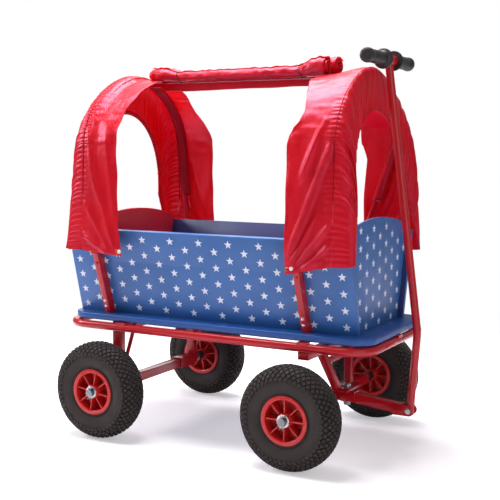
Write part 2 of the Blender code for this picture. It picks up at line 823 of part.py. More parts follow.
def make_uprights(frames):
    """Red posts on the outside of the side panels, each ending in a socket for the canopy."""
    below = box_mesh("below_the_board", (1.0, 0.6, 0.1))
    floor_tool = helper(place(below, (0, 0, BOARD_TOP + GAP - 0.05)), WAGON)
    foot_reach = 0.03
    for label, side, x in upright_places():
        frame = frames[side]
        local_x = x * side
        size = (UPRIGHT_WIDTH, UPRIGHT_DEPTH, UPRIGHT_LENGTH + foot_reach)
        centre = (0, GAP + UPRIGHT_DEPTH / 2, (UPRIGHT_LENGTH - foot_reach) / 2)
        mesh = box_mesh(f"upright_{label}", size, centre)
        post = place(mesh, (local_x, 0, 0), (0, -side * UPRIGHT_TILT, 0))
        finish(post, "red_enamel", frame)
        combine(post, floor_tool, "DIFFERENCE", "level foot")
        socket_x = upright_top_x(x)
        socket = cylinder_mesh(
            f"socket_{label}", SOCKET_RADIUS, SOCKET_TOP - SOCKET_FOOT, 14
        )
        middle = (SOCKET_TOP + SOCKET_FOOT) / 2
        spot = (socket_x, side * SOCKET_Y, middle)
        combine(post, helper(place(socket, spot), WAGON), "UNION", "socket")
        bore_radius = (HOOP_TUBE + SLIDING) / math.cos(math.pi / 14)
        bore = cylinder_mesh(f"socket_bore_{label}", bore_radius, SOCKET_DEPTH * 2, 14)
        bore_spot = (socket_x, side * SOCKET_Y, SOCKET_TOP)
        combine(post, helper(place(bore, bore_spot), WAGON), "DIFFERENCE", "socket bore")
        drill_for_bolt(post, label, frame, local_x, side)
        make_upright_bolt(label, frame, local_x, side)


def upright_top_x(foot_x):
    """X of an upright at the height of its socket."""
    rise = (SOCKET_FOOT - BOARD_TOP) / math.cos(PANEL_LEAN)
    return foot_x - math.tan(UPRIGHT_TILT) * rise


def make_upright_bolt(label, frame, local_x, side):
    """A bolt through upright and panel, with its head outside and its nut in the box."""
    head_in = GAP + UPRIGHT_DEPTH + GAP
    head_out = head_in + BOLT_HEAD_HEIGHT
    nut_out = -PANEL_THICK - GAP
    nut_in = nut_out - 0.004
    nut_radius = BOLT_HEAD_RADIUS
    profile = [
        (0, head_out),
        (BOLT_HEAD_RADIUS * 0.7, head_out),
        (BOLT_HEAD_RADIUS, head_in),
        (BOLT_RADIUS, head_in),
        (BOLT_RADIUS, nut_out),
        (nut_radius, nut_out),
        (nut_radius, nut_in),
        (0, nut_in),
    ]
    spot = bolt_spot(local_x, side)
    outwards = (math.radians(-90), 0, 0)
    add_turned(f"upright_bolt_{label}", profile, 10, spot, outwards, "zinc", frame)


def end_foot_half():
    """Half the width of the front and rear panels at their foot, between the side panels."""
    level_thick = PANEL_THICK / math.cos(PANEL_LEAN)
    return SIDE_FOOT_Y - level_thick - GAP - PANEL_SEAT * math.tan(PANEL_LEAN)


def end_outline():
    """Outline of the front and rear panels: leaning sides, an arched top and round shoulders."""
    foot_z = BOARD_TOP + GAP - PANEL_SEAT
    foot_half = end_foot_half()
    centre_z = END_CREST - END_ARCH_RADIUS
    lean = math.tan(PANEL_LEAN)
    # The shoulder's arc touches the leaning side and the arch from inside.
    reach = END_ARCH_RADIUS - END_CORNER
    half_at = foot_half - END_CORNER / math.cos(PANEL_LEAN)
    corner_z = END_CREST - END_CORNER
    for _ in range(20):
        corner_y = half_at + lean * (corner_z - foot_z)
        corner_z = centre_z + math.sqrt(reach * reach - corner_y * corner_y)
    lean_angle = -math.degrees(PANEL_LEAN)
    top_angle = math.degrees(math.atan2(corner_z - centre_z, corner_y))
    shoulder = arc((corner_y, corner_z), END_CORNER, lean_angle, top_angle, 5)
    crown = arc((0, centre_z), END_ARCH_RADIUS, top_angle, 180 - top_angle, 10)[1:-1]
    mirrored = [(-y, z) for y, z in reversed(shoulder)]
    return [(-foot_half, foot_z), (foot_half, foot_z)] + shoulder + crown + mirrored


def make_end_panels():
    """Arched boards between the side panels."""
    outline = end_outline()
    upright = Matrix(((0, 0, 1), (1, 0, 0), (0, 1, 0))).to_euler()
    for name, x, colour in (
        ("front_panel", FRONT_FACE - PANEL_THICK / 2, "blue_board"),
        ("rear_panel", REAR_FACE + PANEL_THICK / 2, "red_board"),
    ):
        panel = plate_curve(name, outline, PANEL_THICK)
        panel.rotation_euler = upright
        panel.location = (x, 0, 0)
        finish(panel, colour, WAGON)


def make_steering_head():
    """The plate over the front axle, the two struts that hang it from the frame, and their tie."""
    plate = add_box(
        "head_plate",
        (HEAD_LENGTH, HEAD_WIDTH, HEAD_THICK),
        (KINGPIN_X - HEAD_SHIFT, 0, HEAD_BOTTOM + HEAD_THICK / 2),
        "red_enamel",
        WAGON,
    )
    bore = cylinder_mesh("head_plate_bore", KINGPIN_RADIUS + RUNNING * 2, 0.02, 20)
    spot = (KINGPIN_X, 0, HEAD_BOTTOM + HEAD_THICK / 2)
    combine(plate, helper(place(bore, spot), WAGON), "DIFFERENCE", "kingpin bore")
    # The struts and their tie share one plane, which tips forwards towards the plate.
    rise = CROSS_FRONT_BOTTOM - HEAD_TOP
    tip = math.atan2(STRUT_FOOT_X - STRUT_TOP_X, rise)
    slope = math.hypot(rise, STRUT_FOOT_X - STRUT_TOP_X)
    plane = add_empty("strut_plane", (STRUT_FOOT_X, 0, HEAD_TOP), (0, -tip, 0), WAGON)
    over = box_mesh("over_the_struts", (0.4, 0.6, 0.1))
    over_tool = helper(place(over, (STRUT_TOP_X, 0, CROSS_FRONT_BOTTOM - GAP + 0.05)), WAGON)
    under = box_mesh("under_the_struts", (0.4, 0.6, 0.1))
    under_tool = helper(place(under, (STRUT_FOOT_X, 0, HEAD_TOP + GAP - 0.05)), WAGON)
    splay = math.atan2(STRUT_TOP_Y - STRUT_FOOT_Y, slope)
    length = math.hypot(STRUT_TOP_Y - STRUT_FOOT_Y, slope) + 0.04
    for side in (1, -1):
        strut = add_box(
            f"front_strut_{side_name(side)}",
            (STRUT_SIDE, STRUT_SIDE, length),
            (0, side * (STRUT_TOP_Y + STRUT_FOOT_Y) / 2, slope / 2),
            "red_enamel",
            plane,
            (-side * splay, 0, 0),
        )
        combine(strut, over_tool, "DIFFERENCE", "top cut")
        combine(strut, under_tool, "DIFFERENCE", "foot cut")
    # Half the clear width between the struts at the tie's lower and upper edges
    half_strut = STRUT_SIDE / 2 / math.cos(splay) + GAP
    edges = (slope - TIE_DROP - TIE_HEIGHT, slope - TIE_DROP)
    widths = [STRUT_FOOT_Y + math.tan(splay) * edge - half_strut for edge in edges]
    outline = [
        (-widths[0], edges[0]),
        (widths[0], edges[0]),
        (widths[1], edges[1]),
        (-widths[1], edges[1]),
    ]
    tie = plate_curve("strut_tie_bar", outline, TIE_THICK)
    tie.rotation_euler = Matrix(((0, 0, 1), (1, 0, 0), (0, 1, 0))).to_euler()
    finish(tie, "red_enamel", plane)


def make_drawbar():
    """The steered bar: a block on the kingpin, a square bar and two ears for the handle."""
    start = AXLE_X + BEAM_SIDE / 2 + GAP - KINGPIN_X
    pivot = PIVOT_X - KINGPIN_X
    stop = pivot - DRAWBAR_STOP
    # The bar tips down, so it begins inside the block's front end, clear of the kingpin's washer.
    bar_start = NUT_WASHER_RADIUS + 0.004
    run = (stop - bar_start) / math.cos(PIVOT_SLOPE)
    size = (run, BEAM_SIDE, BEAM_SIDE)
    centre_x = (bar_start + stop) / 2
    slope_z = BEAM_Z - math.tan(PIVOT_SLOPE) * (centre_x - start)
    bar = place(
        box_mesh("drawbar", size), (centre_x, 0, slope_z), (0, PIVOT_SLOPE, 0)
    )
    finish(bar, "red_enamel", STEERING)
    block = box_mesh("pivot_block", (PIVOT_BLOCK_LENGTH, PIVOT_BLOCK_WIDTH, BEAM_SIDE))
    block_x = start + PIVOT_BLOCK_LENGTH / 2
    combine(bar, helper(place(block, (block_x, 0, BEAM_Z)), STEERING), "UNION", "block")
    ear_inner = HANDLE_TUBE + SLIDING
    back = pivot - EAR_LENGTH
    outline = [(back, PIVOT_Z - EAR_RADIUS), *arc((pivot, PIVOT_Z), EAR_RADIUS, -90, 90, 10)]
    outline.append((back, PIVOT_Z + EAR_RADIUS))
    for side in (1, -1):
        ear = plate_curve(f"ear_{side_name(side)}", outline, EAR_THICK)
        ear.location = (0, side * (ear_inner + EAR_THICK / 2), 0)
        ear.rotation_euler = (math.radians(90), 0, 0)
        combine(bar, helper(as_mesh(ear), STEERING), "UNION", f"ear {side_name(side)}")
    bore_sides = 16
    kingpin_bore = (KINGPIN_RADIUS + RUNNING) / math.cos(math.pi / bore_sides)
    upright = cylinder_mesh("drawbar_kingpin_bore", kingpin_bore, THROUGH, bore_sides)
    combine(bar, helper(place(upright, (0, 0, BEAM_Z)), STEERING), "DIFFERENCE", "kingpin")
    pivot_bore = (PIVOT_BOLT_RADIUS + RUNNING) / math.cos(math.pi / bore_sides)
    across = cylinder_mesh("drawbar_pivot_bore", pivot_bore, THROUGH, bore_sides)
    tool = place(across, (pivot, 0, PIVOT_Z), (math.radians(90), 0, 0))
    combine(bar, helper(tool, STEERING), "DIFFERENCE", "pivot")


def make_kingpin():
    """The thrust washer, the upright bolt and its nut with washer."""
    bore = KINGPIN_RADIUS + RUNNING
    washer = [
        (bore, THRUST_BOTTOM + THRUST_THICK),
        (THRUST_RADIUS, THRUST_BOTTOM + THRUST_THICK),
        (THRUST_RADIUS, THRUST_BOTTOM),
        (bore, THRUST_BOTTOM),
    ]
    level = (0, 0, 0)
    add_turned("thrust_washer", washer, 20, level, level, "dark_steel", STEERING)
    head_low = HEAD_TOP + GAP
    washer_top = BEAM_BOTTOM - GAP
    nut_top = washer_top - NUT_WASHER_THICK
    nut_low = nut_top - NUT_HEIGHT
    pin = [
        (0, head_low + KINGPIN_HEAD_HEIGHT),
        (KINGPIN_HEAD_RADIUS * 0.85, head_low + KINGPIN_HEAD_HEIGHT),
        (KINGPIN_HEAD_RADIUS, head_low + KINGPIN_HEAD_HEIGHT * 0.6),
        (KINGPIN_HEAD_RADIUS, head_low),
        (KINGPIN_RADIUS, head_low),
        (KINGPIN_RADIUS, nut_low),
        (0, nut_low),
    ]
    add_turned("kingpin_bolt", pin, 16, level, level, "zinc", STEERING)
    nut_bore = (KINGPIN_RADIUS + GAP) / math.cos(math.pi / 18)
    nut = [
        (nut_bore, washer_top),
        (NUT_WASHER_RADIUS, washer_top),
        (NUT_WASHER_RADIUS, nut_top),
        (NUT_RADIUS, nut_top),
        (NUT_RADIUS, nut_low),
        (nut_bore, nut_low),
    ]
    add_turned("kingpin_nut", nut, 18, level, level, "dark_steel", STEERING)


def make_pivot_bolt():
    """The cross bolt on which the handle folds, with its head on the right and its nut on the left."""
    face = HANDLE_TUBE + SLIDING + EAR_THICK + GAP
    end = face + PIVOT_HEAD_HEIGHT
    profile = [
        (0, end),
        (PIVOT_HEAD_RADIUS, end),
        (PIVOT_HEAD_RADIUS, face),
        (PIVOT_BOLT_RADIUS, face),
        (PIVOT_BOLT_RADIUS, -face),
        (PIVOT_HEAD_RADIUS, -face),
        (PIVOT_HEAD_RADIUS, -end),
        (0, -end),
    ]
    turned_y = (math.radians(90), 0, 0)
    spot = (PIVOT_X - KINGPIN_X, 0, PIVOT_Z)
    add_turned("pivot_bolt", profile, 12, spot, turned_y, "zinc", STEERING)


def make_handle():
    """The bent tube, the bar across its top and the two grips."""
    path = [(point.x, 0, point.y) for point in HANDLE_POINTS]
    tube = as_mesh(tube_curve("handle_tube", path, HANDLE_TUBE, sides=3))
    finish(tube, "red_enamel", HANDLE, smooth=40)
    grip_x = HANDLE_POINTS[-1].x
    grip_z = HANDLE_POINTS[-1].y
    cross = (math.radians(90), 0, 0)
    saddle = cylinder_mesh("handle_saddle", T_BAR_RADIUS + GAP * 2, THROUGH, 32)
    tool = place(saddle, (grip_x, 0, grip_z), cross)
    combine(tube, helper(tool, HANDLE), "DIFFERENCE", "saddle")
    # The tube ends under the bar, so whatever would stand above it is cut away.
    above = box_mesh("above_the_bar", (0.1, 0.1, 0.04))
    lid = place(above, (grip_x, 0, grip_z + 0.02))
    combine(tube, helper(lid, HANDLE), "DIFFERENCE", "end")
    bore_sides = 16
    bore = (PIVOT_BOLT_RADIUS + RUNNING) / math.cos(math.pi / bore_sides)
    drill = cylinder_mesh("handle_pivot_bore", bore, THROUGH, bore_sides)
    combine(tube, helper(place(drill, (0, 0, 0), cross), HANDLE), "DIFFERENCE", "pivot")
    core_end = GRIP_END - 0.006
    half = [(T_BAR_CORE, core_end), (T_BAR_CORE, T_BAR_MIDDLE), (T_BAR_RADIUS, T_BAR_MIDDLE)]
    mirrored = [(radius, -height) for radius, height in reversed(half)]
    bar = [(0, core_end)] + half + mirrored + [(0, -core_end)]
    spot = (grip_x, 0, grip_z)
    add_turned("t_bar", bar, 16, spot, (math.radians(-90), 0, 0), "red_enamel", HANDLE)
    sides = 16
    bore = (T_BAR_CORE + GAP) / math.cos(math.pi / sides)
    start = T_BAR_MIDDLE + GAP
    knob_mid = (GRIP_NECK + GRIP_END) / 2 + 0.002
    grip = [
        (0, GRIP_END),
        (GRIP_KNOB * 0.62, GRIP_END),
        (GRIP_KNOB, knob_mid + 0.005),
        (GRIP_KNOB, knob_mid - 0.005),
        (GRIP_RADIUS * 0.88, GRIP_NECK),
        (GRIP_RADIUS, GRIP_NECK - 0.008),
        (GRIP_RADIUS * 0.94, start + GRIP_FLANGE_THICK + 0.003),
        (GRIP_FLANGE, start + GRIP_FLANGE_THICK),
        (GRIP_FLANGE, start),
        (bore, start),
        (bore, core_end + GAP),
        (0, core_end + GAP),
    ]
    for side in (1, -1):
        turn = (math.radians(-90 * side), 0, 0)
        add_turned(f"grip_{side_name(side)}", grip, sides, spot, turn, "black_plastic", HANDLE)


def arch_point(share, half_width, spring, crest, power, foot_half, foot_z):
    """A point (y, z) on an arch: share runs from -1 at the right foot to 1 at the left one."""
    leg_share = 0.40
    size = abs(share)
    sign = 1 if share >= 0 else -1
    if size <= 1 - leg_share:
        angle = math.pi / 2 * size / (1 - leg_share)
        y = half_width * math.sin(angle) ** (2 / power)
        z = spring + (crest - spring) * max(math.cos(angle), 0) ** (2 / power)
    else:
        down = (size - 1 + leg_share) / leg_share
        y = half_width + (foot_half - half_width) * down
        z = spring + (foot_z - spring) * down
    return Vector((sign * y, z))


def column_shares():
    return [-1 + 2 * index / COVER_COLUMNS for index in range(COVER_COLUMNS + 1)]


def cloth_section(crest):
    """The canopy's outer outline where its crest stands at the given height."""
    values = (ARCH_HALF_WIDTH, ARCH_SPRING, crest, ARCH_POWER, FOOT_HALF_WIDTH, FOOT_Z)
    return [arch_point(share, *values) for share in column_shares()]


def inset(points, distance):
    """The same outline moved inwards square to itself."""
    moved = []
    for index, point in enumerate(points):
        before = points[max(index - 1, 0)]
        after = points[min(index + 1, len(points) - 1)]
        along = (after - before).normalized()
        moved.append(point + Vector((along.y, -along.x)) * distance)
    return moved


def hoop_x(z, top_x, leg_x):
    """X of a hoop at a height: over its socket low down, in its arch's plane higher up."""
    low = SOCKET_TOP + 0.010
    high = ARCH_SPRING + 0.010
    share = min(max((z - low) / (high - low), 0), 1)
    return leg_x + (top_x - leg_x) * share


def make_hoops():
    """Two bent tubes that stand in the uprights' sockets and carry the cloth."""
    arch = inset(cloth_section(ARCH_CREST), HOOP_INSET)
    lowest = SOCKET_TOP + 0.045
    for end, top_x, foot_x in (
        ("front", HOOP_FRONT_X, FRONT_UPRIGHT_X),
        ("rear", HOOP_REAR_X, REAR_UPRIGHT_X),
    ):
        leg_x = upright_top_x(foot_x)
        path = []
        for point in arch:
            if point.y > lowest:
                path.append((hoop_x(point.y, top_x, leg_x), point.x, point.y))
        for side in (-1, 1):
            stub = [
                (leg_x, side * SOCKET_Y, SOCKET_FLOOR + GAP),
                (leg_x, side * SOCKET_Y, SOCKET_TOP + 0.006),
            ]
            path = stub + path if side < 0 else path + stub[::-1]
        hoop = tube_curve(f"hoop_{end}", path, HOOP_TUBE)
        finish(hoop, "hoop_steel", CANOPY)


def make_ridge():
    """The bar between the hoops, its cloth sleeve and the rolled-up side cloths on top."""
    rear = HOOP_REAR_X - HOOP_TUBE
    front = HOOP_FRONT_X + HOOP_TUBE
    along_x = (0, math.radians(90), 0)
    middle = ((rear + front) / 2, 0, RIDGE_Z)
    add_cylinder(
        "ridge_bar", RIDGE_RADIUS, front - rear, middle, along_x, "hoop_steel", CANOPY, 12
    )
    clear = RIDGE_RADIUS + GAP
    outer = clear + BAND_CLOTH
    # A sleeve over the bar with both edges hanging down
    top = arc((0, RIDGE_Z), outer, 0, 180, 12)
    under = arc((0, RIDGE_Z), clear, 180, 0, 12)
    hem = RIDGE_CLOTH_TOP - BAND_DROP
    outline = top + [(-outer, hem), (-clear, hem)] + under + [(clear, hem), (outer, hem)]
    start = REAR_EDGE + GAP * 2
    end = FRONT_EDGE - GAP * 2
    band = plate_curve("ridge_band", outline, end - start)
    band.rotation_euler = Matrix(((0, 0, 1), (1, 0, 0), (0, 1, 0))).to_euler()
    band.location = ((start + end) / 2, 0, 0)
    finish(band, "red_nylon", CANOPY)
    make_rolls()


def crown_z(y, crest):
    """Height of the cloth's crown a little to one side of its crest."""
    aside = (abs(y) / ARCH_HALF_WIDTH) ** ARCH_POWER
    return ARCH_SPRING + (crest - ARCH_SPRING) * (1 - aside) ** (1 / ARCH_POWER)


def roll_radius(x):
    """A roll grows thicker towards the front and is drawn in where its two ties hold it."""
    full = ROLL_REAR_RADIUS + ROLL_GROWTH * (x - ROLL_REAR)
    for tie in (ROLL_TIE_REAR, ROLL_TIE_FRONT):
        full -= 0.003 * math.exp(-(((x - tie) / 0.02) ** 2))
    return full


def make_rolls():
    """The side cloths, rolled up and laid side by side along the ridge."""
    steps = 10
    ends = 0.003
    beside = ROLL_REAR_RADIUS - ROLL_GROWTH * ROLL_REAR + GAP
    level = crown_z(ROLL_FRONT_RADIUS, RIDGE_CLOTH_TOP) - ROLL_SETTLE
    for side, (rear, front) in ((1, ROLL_LEFT_ENDS), (-1, ROLL_RIGHT_ENDS)):
        stations = [front + (rear - front) * i / steps for i in range(1, steps)]
        stations = sorted(stations + [ROLL_TIE_REAR, ROLL_TIE_FRONT], reverse=True)
        profile = [(0, front), (roll_radius(front) - ends, front)]
        profile += [(roll_radius(x), x) for x in stations]
        profile += [(roll_radius(rear) - ends, rear), (0, rear)]
        # The axis spreads and climbs as the roll grows, so that its underside and inner side are straight.
        axis = Vector((1, side * ROLL_GROWTH, ROLL_GROWTH))
        turn = axis.to_track_quat("Z", "Y").to_euler()
        spot = (0, side * beside, level + ROLL_REAR_RADIUS - ROLL_GROWTH * ROLL_REAR)
        name = f"side_cloth_roll_{side_name(side)}"
        add_turned(name, profile, 12, spot, turn, "red_nylon", CANOPY)


def hem_point(share, crest_x, foot):
    """A point of the gathered hem, which elastic draws in narrower than the arch; foot is (X, half width)."""
    foot_x, foot_half = foot
    outline = (HEM_HALF_WIDTH, HEM_SPRING, HEM_CREST, HEM_POWER, foot_half, HEM_FOOT_Z)
    y, z = arch_point(share, *outline)
    lowered = (HEM_CREST - z) / (HEM_CREST - HEM_FOOT_Z)
    return Vector((crest_x + (foot_x - crest_x) * lowered, y, z))


def cover_rows(edge, dip, hoop, seam, hem_crest, hem_foot, edge_foot_z):
    """Rows of points from a cover's free edge over its hoop and seam to its gathered hem."""
    dip_crest = RIDGE_CLOTH_TOP
    rows = []
    for x, crest in (
        (edge, dip_crest),
        (dip, dip_crest),
        ((dip + hoop) / 2, (dip_crest + ARCH_CREST) / 2),
        (hoop, ARCH_CREST),
        (seam, ARCH_CREST + 0.001),
    ):
        rise = (x - edge) / (seam - edge)
        foot = edge_foot_z + (HEM_FOOT_Z - edge_foot_z) * rise * 0.8
        values = (ARCH_HALF_WIDTH, ARCH_SPRING, crest, ARCH_POWER, FOOT_HALF_WIDTH, foot)
        rows.append([Vector((x, *arch_point(share, *values))) for share in column_shares()])
    seam_row = rows[-1]
    away = math.copysign(1, seam)
    for blend in (0.35, 0.7, 1.0):
        row = []
        for start, share in zip(seam_row, column_shares()):
            end = hem_point(share, hem_crest, hem_foot)
            loose = 1 - abs(share) ** 6
            belly = Vector((end.x + away * SKIRT_BELLY * loose, start.y, start.z))
            point = start.lerp(belly, blend).lerp(belly.lerp(end, blend), blend)
            wave = GATHER_DEPTH * blend * math.cos(share * GATHERS * 2 * math.pi)
            point.x += away * wave * loose
            row.append(point)
        rows.append(row)
    return rows


def raise_folds(rows, snap_x):
    """Tension folds from each snap up towards the seam, as soft ridges that stand out sideways."""
    for row in rows[1:4]:
        for point in row:
            if abs(point.y) < ARCH_HALF_WIDTH * 0.9:
                continue
            for reach, height in ((0.075, 0.20), (0.085, 0.13), (0.090, 0.06)):
                along = Vector((math.copysign(reach, snap_x), height)).normalized()
                offset = Vector((point.x - snap_x, point.z - FOOT_Z))
                across = offset - along * offset.dot(along)
                rise = FOLD_HEIGHT * math.exp(-((across.length / FOLD_WIDTH) ** 2))
                fade = min(max(offset.dot(along) / 0.05, 0), 1)
                point.y += math.copysign(rise * fade * 0.6, point.y)


def make_cover(name, rows):
    """A sheet through the rows, given the cloth's thickness on its inner side."""
    mesh = bpy.data.meshes.new(name)
    shape = bmesh.new()
    columns = len(rows[0]) - 1
    bmesh.ops.create_grid(
        shape, x_segments=columns, y_segments=len(rows) - 1, size=1
    )
    ordered = sorted(shape.verts, key=lambda v: (round(v.co.y, 4), round(v.co.x, 4)))
    flat = [point for row in rows for point in row]
    for vertex, point in zip(ordered, flat):
        vertex.co = point
    # The thickness goes inwards, so the sheet's faces look outwards on both covers.
    if rows[0][0].x > 0:
        bmesh.ops.reverse_faces(shape, faces=shape.faces)
    shape.to_mesh(mesh)
    shape.free()
    cover = place(mesh)
    finish(cover, "red_nylon", CANOPY, smooth=60)
    skin = cover.modifiers.new("cloth", "SOLIDIFY")
    skin.thickness = CLOTH
    skin.offset = -1
    skin.use_even_offset = True


def make_covers():
    """The cloth over each hoop: plain edge inwards, gathered hem outwards."""
    front = cover_rows(
        FRONT_EDGE,
        ROLL_FRONT + 0.005,
        HOOP_FRONT_X,
        FRONT_SEAM,
        FRONT_HEM_CREST,
        FRONT_HEM_FOOT,
        FRONT_EDGE_FOOT_Z,
    )
    raise_folds(front, upright_top_x(FRONT_UPRIGHT_X))
    make_cover("front_cover", front)
    rear = cover_rows(
        REAR_EDGE,
        ROLL_REAR - 0.005,
        HOOP_REAR_X,
        REAR_SEAM,
        REAR_HEM_CREST,
        REAR_HEM_FOOT,
        REAR_EDGE_FOOT_Z,
    )
    make_cover("rear_cover", rear)


def main():
    make_frame_ring()
    make_cross_members()
    make_rear_brackets()
    add_beam("rear_axle_beam", -AXLE_X, WAGON)
    add_beam("front_axle_beam", AXLE_X - KINGPIN_X, STEERING)
    make_saddles()
    add_axle("rear_axle", -AXLE_X, WAGON)
    add_axle("front_axle", AXLE_X - KINGPIN_X, STEERING)
    make_wheels()
    make_deck_board()
    frames = side_frames()
    make_side_panels(frames)
    make_uprights(frames)
    make_end_panels()
    make_steering_head()
    make_drawbar()
    make_kingpin()
    make_pivot_bolt()
    make_handle()
    make_hoops()
    make_ridge()
    make_covers()


main()
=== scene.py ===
"""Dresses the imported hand-pulled wagon: studio, finishes, wheels, frame, box, steering, handle and canopy.

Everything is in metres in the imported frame: X forwards to the pull handle, +Y to the wagon's left, Z up.
"""

import json
import logging
import math
from contextlib import contextmanager
from dataclasses import dataclass, field
from enum import Enum
from typing import Callable, Iterable, Iterator, Sequence

import bmesh
import bpy
from mathutils import Matrix, Vector, noise

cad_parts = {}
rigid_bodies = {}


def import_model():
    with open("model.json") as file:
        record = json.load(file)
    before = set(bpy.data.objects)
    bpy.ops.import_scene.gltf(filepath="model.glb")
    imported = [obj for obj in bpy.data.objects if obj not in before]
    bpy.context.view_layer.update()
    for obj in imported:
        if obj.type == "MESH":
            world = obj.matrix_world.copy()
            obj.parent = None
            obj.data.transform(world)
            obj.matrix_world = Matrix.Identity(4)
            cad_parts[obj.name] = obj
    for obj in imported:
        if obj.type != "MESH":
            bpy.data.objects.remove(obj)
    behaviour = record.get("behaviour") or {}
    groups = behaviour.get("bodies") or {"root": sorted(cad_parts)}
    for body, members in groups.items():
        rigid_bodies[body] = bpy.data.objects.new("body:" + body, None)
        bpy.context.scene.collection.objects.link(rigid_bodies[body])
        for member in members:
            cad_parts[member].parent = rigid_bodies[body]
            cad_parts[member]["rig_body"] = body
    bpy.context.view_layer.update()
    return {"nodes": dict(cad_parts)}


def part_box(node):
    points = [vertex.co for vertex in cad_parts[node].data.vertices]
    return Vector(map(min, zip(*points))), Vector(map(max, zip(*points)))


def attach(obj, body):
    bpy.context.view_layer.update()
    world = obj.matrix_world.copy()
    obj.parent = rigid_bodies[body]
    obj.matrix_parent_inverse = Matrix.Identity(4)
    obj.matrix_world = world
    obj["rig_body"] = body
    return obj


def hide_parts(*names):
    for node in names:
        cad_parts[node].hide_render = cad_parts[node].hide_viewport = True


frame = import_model()

LOG = logging.getLogger("wagon")
# The CAD's own working frame has its origin midway between the axles; this is that shift.
SHIFT = (sum(c.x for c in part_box("tyre_front_left")) + sum(c.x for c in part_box("tyre_rear_left"))) / 4
SHIFT_VECTOR = Vector((SHIFT, 0, 0))
MM = 0.001
# The gap that the CAD leaves between pieces that touch
GAP = 0.0003

SIDES = (("left", 1), ("right", -1))
ENDS = ("front", "rear")
CORNERS = tuple((end, name, side) for end in ENDS for name, side in SIDES)

# Measured places of the CAD, in its working frame
UPRIGHT_X = {"front": 0.2771, "rear": -0.3207}
UPRIGHT_FOOT_Y = 0.1607
LUG_X = (0.285, -0.2543)
# Half the length that each axle's beam hides
BEAM_HALF = {"rear_axle": 0.2135, "front_axle": 0.2003}
# The arch and the shoulders of the end panels
END_RADIUS = 0.764
END_CORNER = 0.024
# The canopy's crest and the height where its hoops' legs end
CREST = 0.974
LEG_END = 0.480
# The top of the sockets that hold the hoops
SOCKET_TOP = 0.545
# Half the width of the strip that holds a hoop inside its cover
SLEEVE_HALF = 0.0165
CORNER_STEPS = 16


def linear(colour: str) -> tuple[float, float, float, float]:
    """Turns an sRGB hex colour to the linear values that a shader takes.

    Args:
        colour: six hex digits after a hash sign.

    Returns:
        Linear red, green and blue, with an alpha of 1.
    """
    parts = [int(colour[i : i + 2], 16) / 255 for i in (1, 3, 5)]
    lin = [c / 12.92 if c <= 0.04045 else ((c + 0.055) / 1.055) ** 2.4 for c in parts]
    return (lin[0], lin[1], lin[2], 1.0)


def add_node(tree: bpy.types.NodeTree, kind: str, sockets: dict | None = None, **settings) -> bpy.types.Node:
    """Adds a node, sets its properties and fills or links its inputs.

    Args:
        tree: the tree that gets the node.
        kind: the node's type name.
        sockets: input name or index to a value, or to the output socket that feeds it.
        settings: the node's own properties.

    Returns:
        The new node.
    """
    node = tree.nodes.new(kind)
    for key, value in settings.items():
        setattr(node, key, value)
    for key, value in (sockets or {}).items():
        if isinstance(value, bpy.types.NodeSocket):
            tree.links.new(value, node.inputs[key])
        else:
            node.inputs[key].default_value = value
    return node


def out_of(
    tree: bpy.types.NodeTree, kind: str, sockets: dict | None = None, **settings
) -> bpy.types.NodeSocket:
    """Adds a node, as add_node does, and returns its first output."""
    return add_node(tree, kind, sockets, **settings).outputs[0]


def maths(tree: bpy.types.NodeTree, operation: str, *values: object) -> bpy.types.NodeSocket:
    """Adds a math node on the given values or sockets and returns its result."""
    return out_of(tree, "ShaderNodeMath", dict(enumerate(values)), operation=operation)


def link_new(name: str, data: bpy.types.ID) -> bpy.types.Object:
    """A new object that holds the data, linked to the scene."""
    made = bpy.data.objects.new(name, data)
    bpy.context.scene.collection.objects.link(made)
    return made


# ---- Finishes


class Space(Enum):
    """Where a finish's pattern takes its coordinates from."""

    OBJECT = "Object"
    UV = "UV"


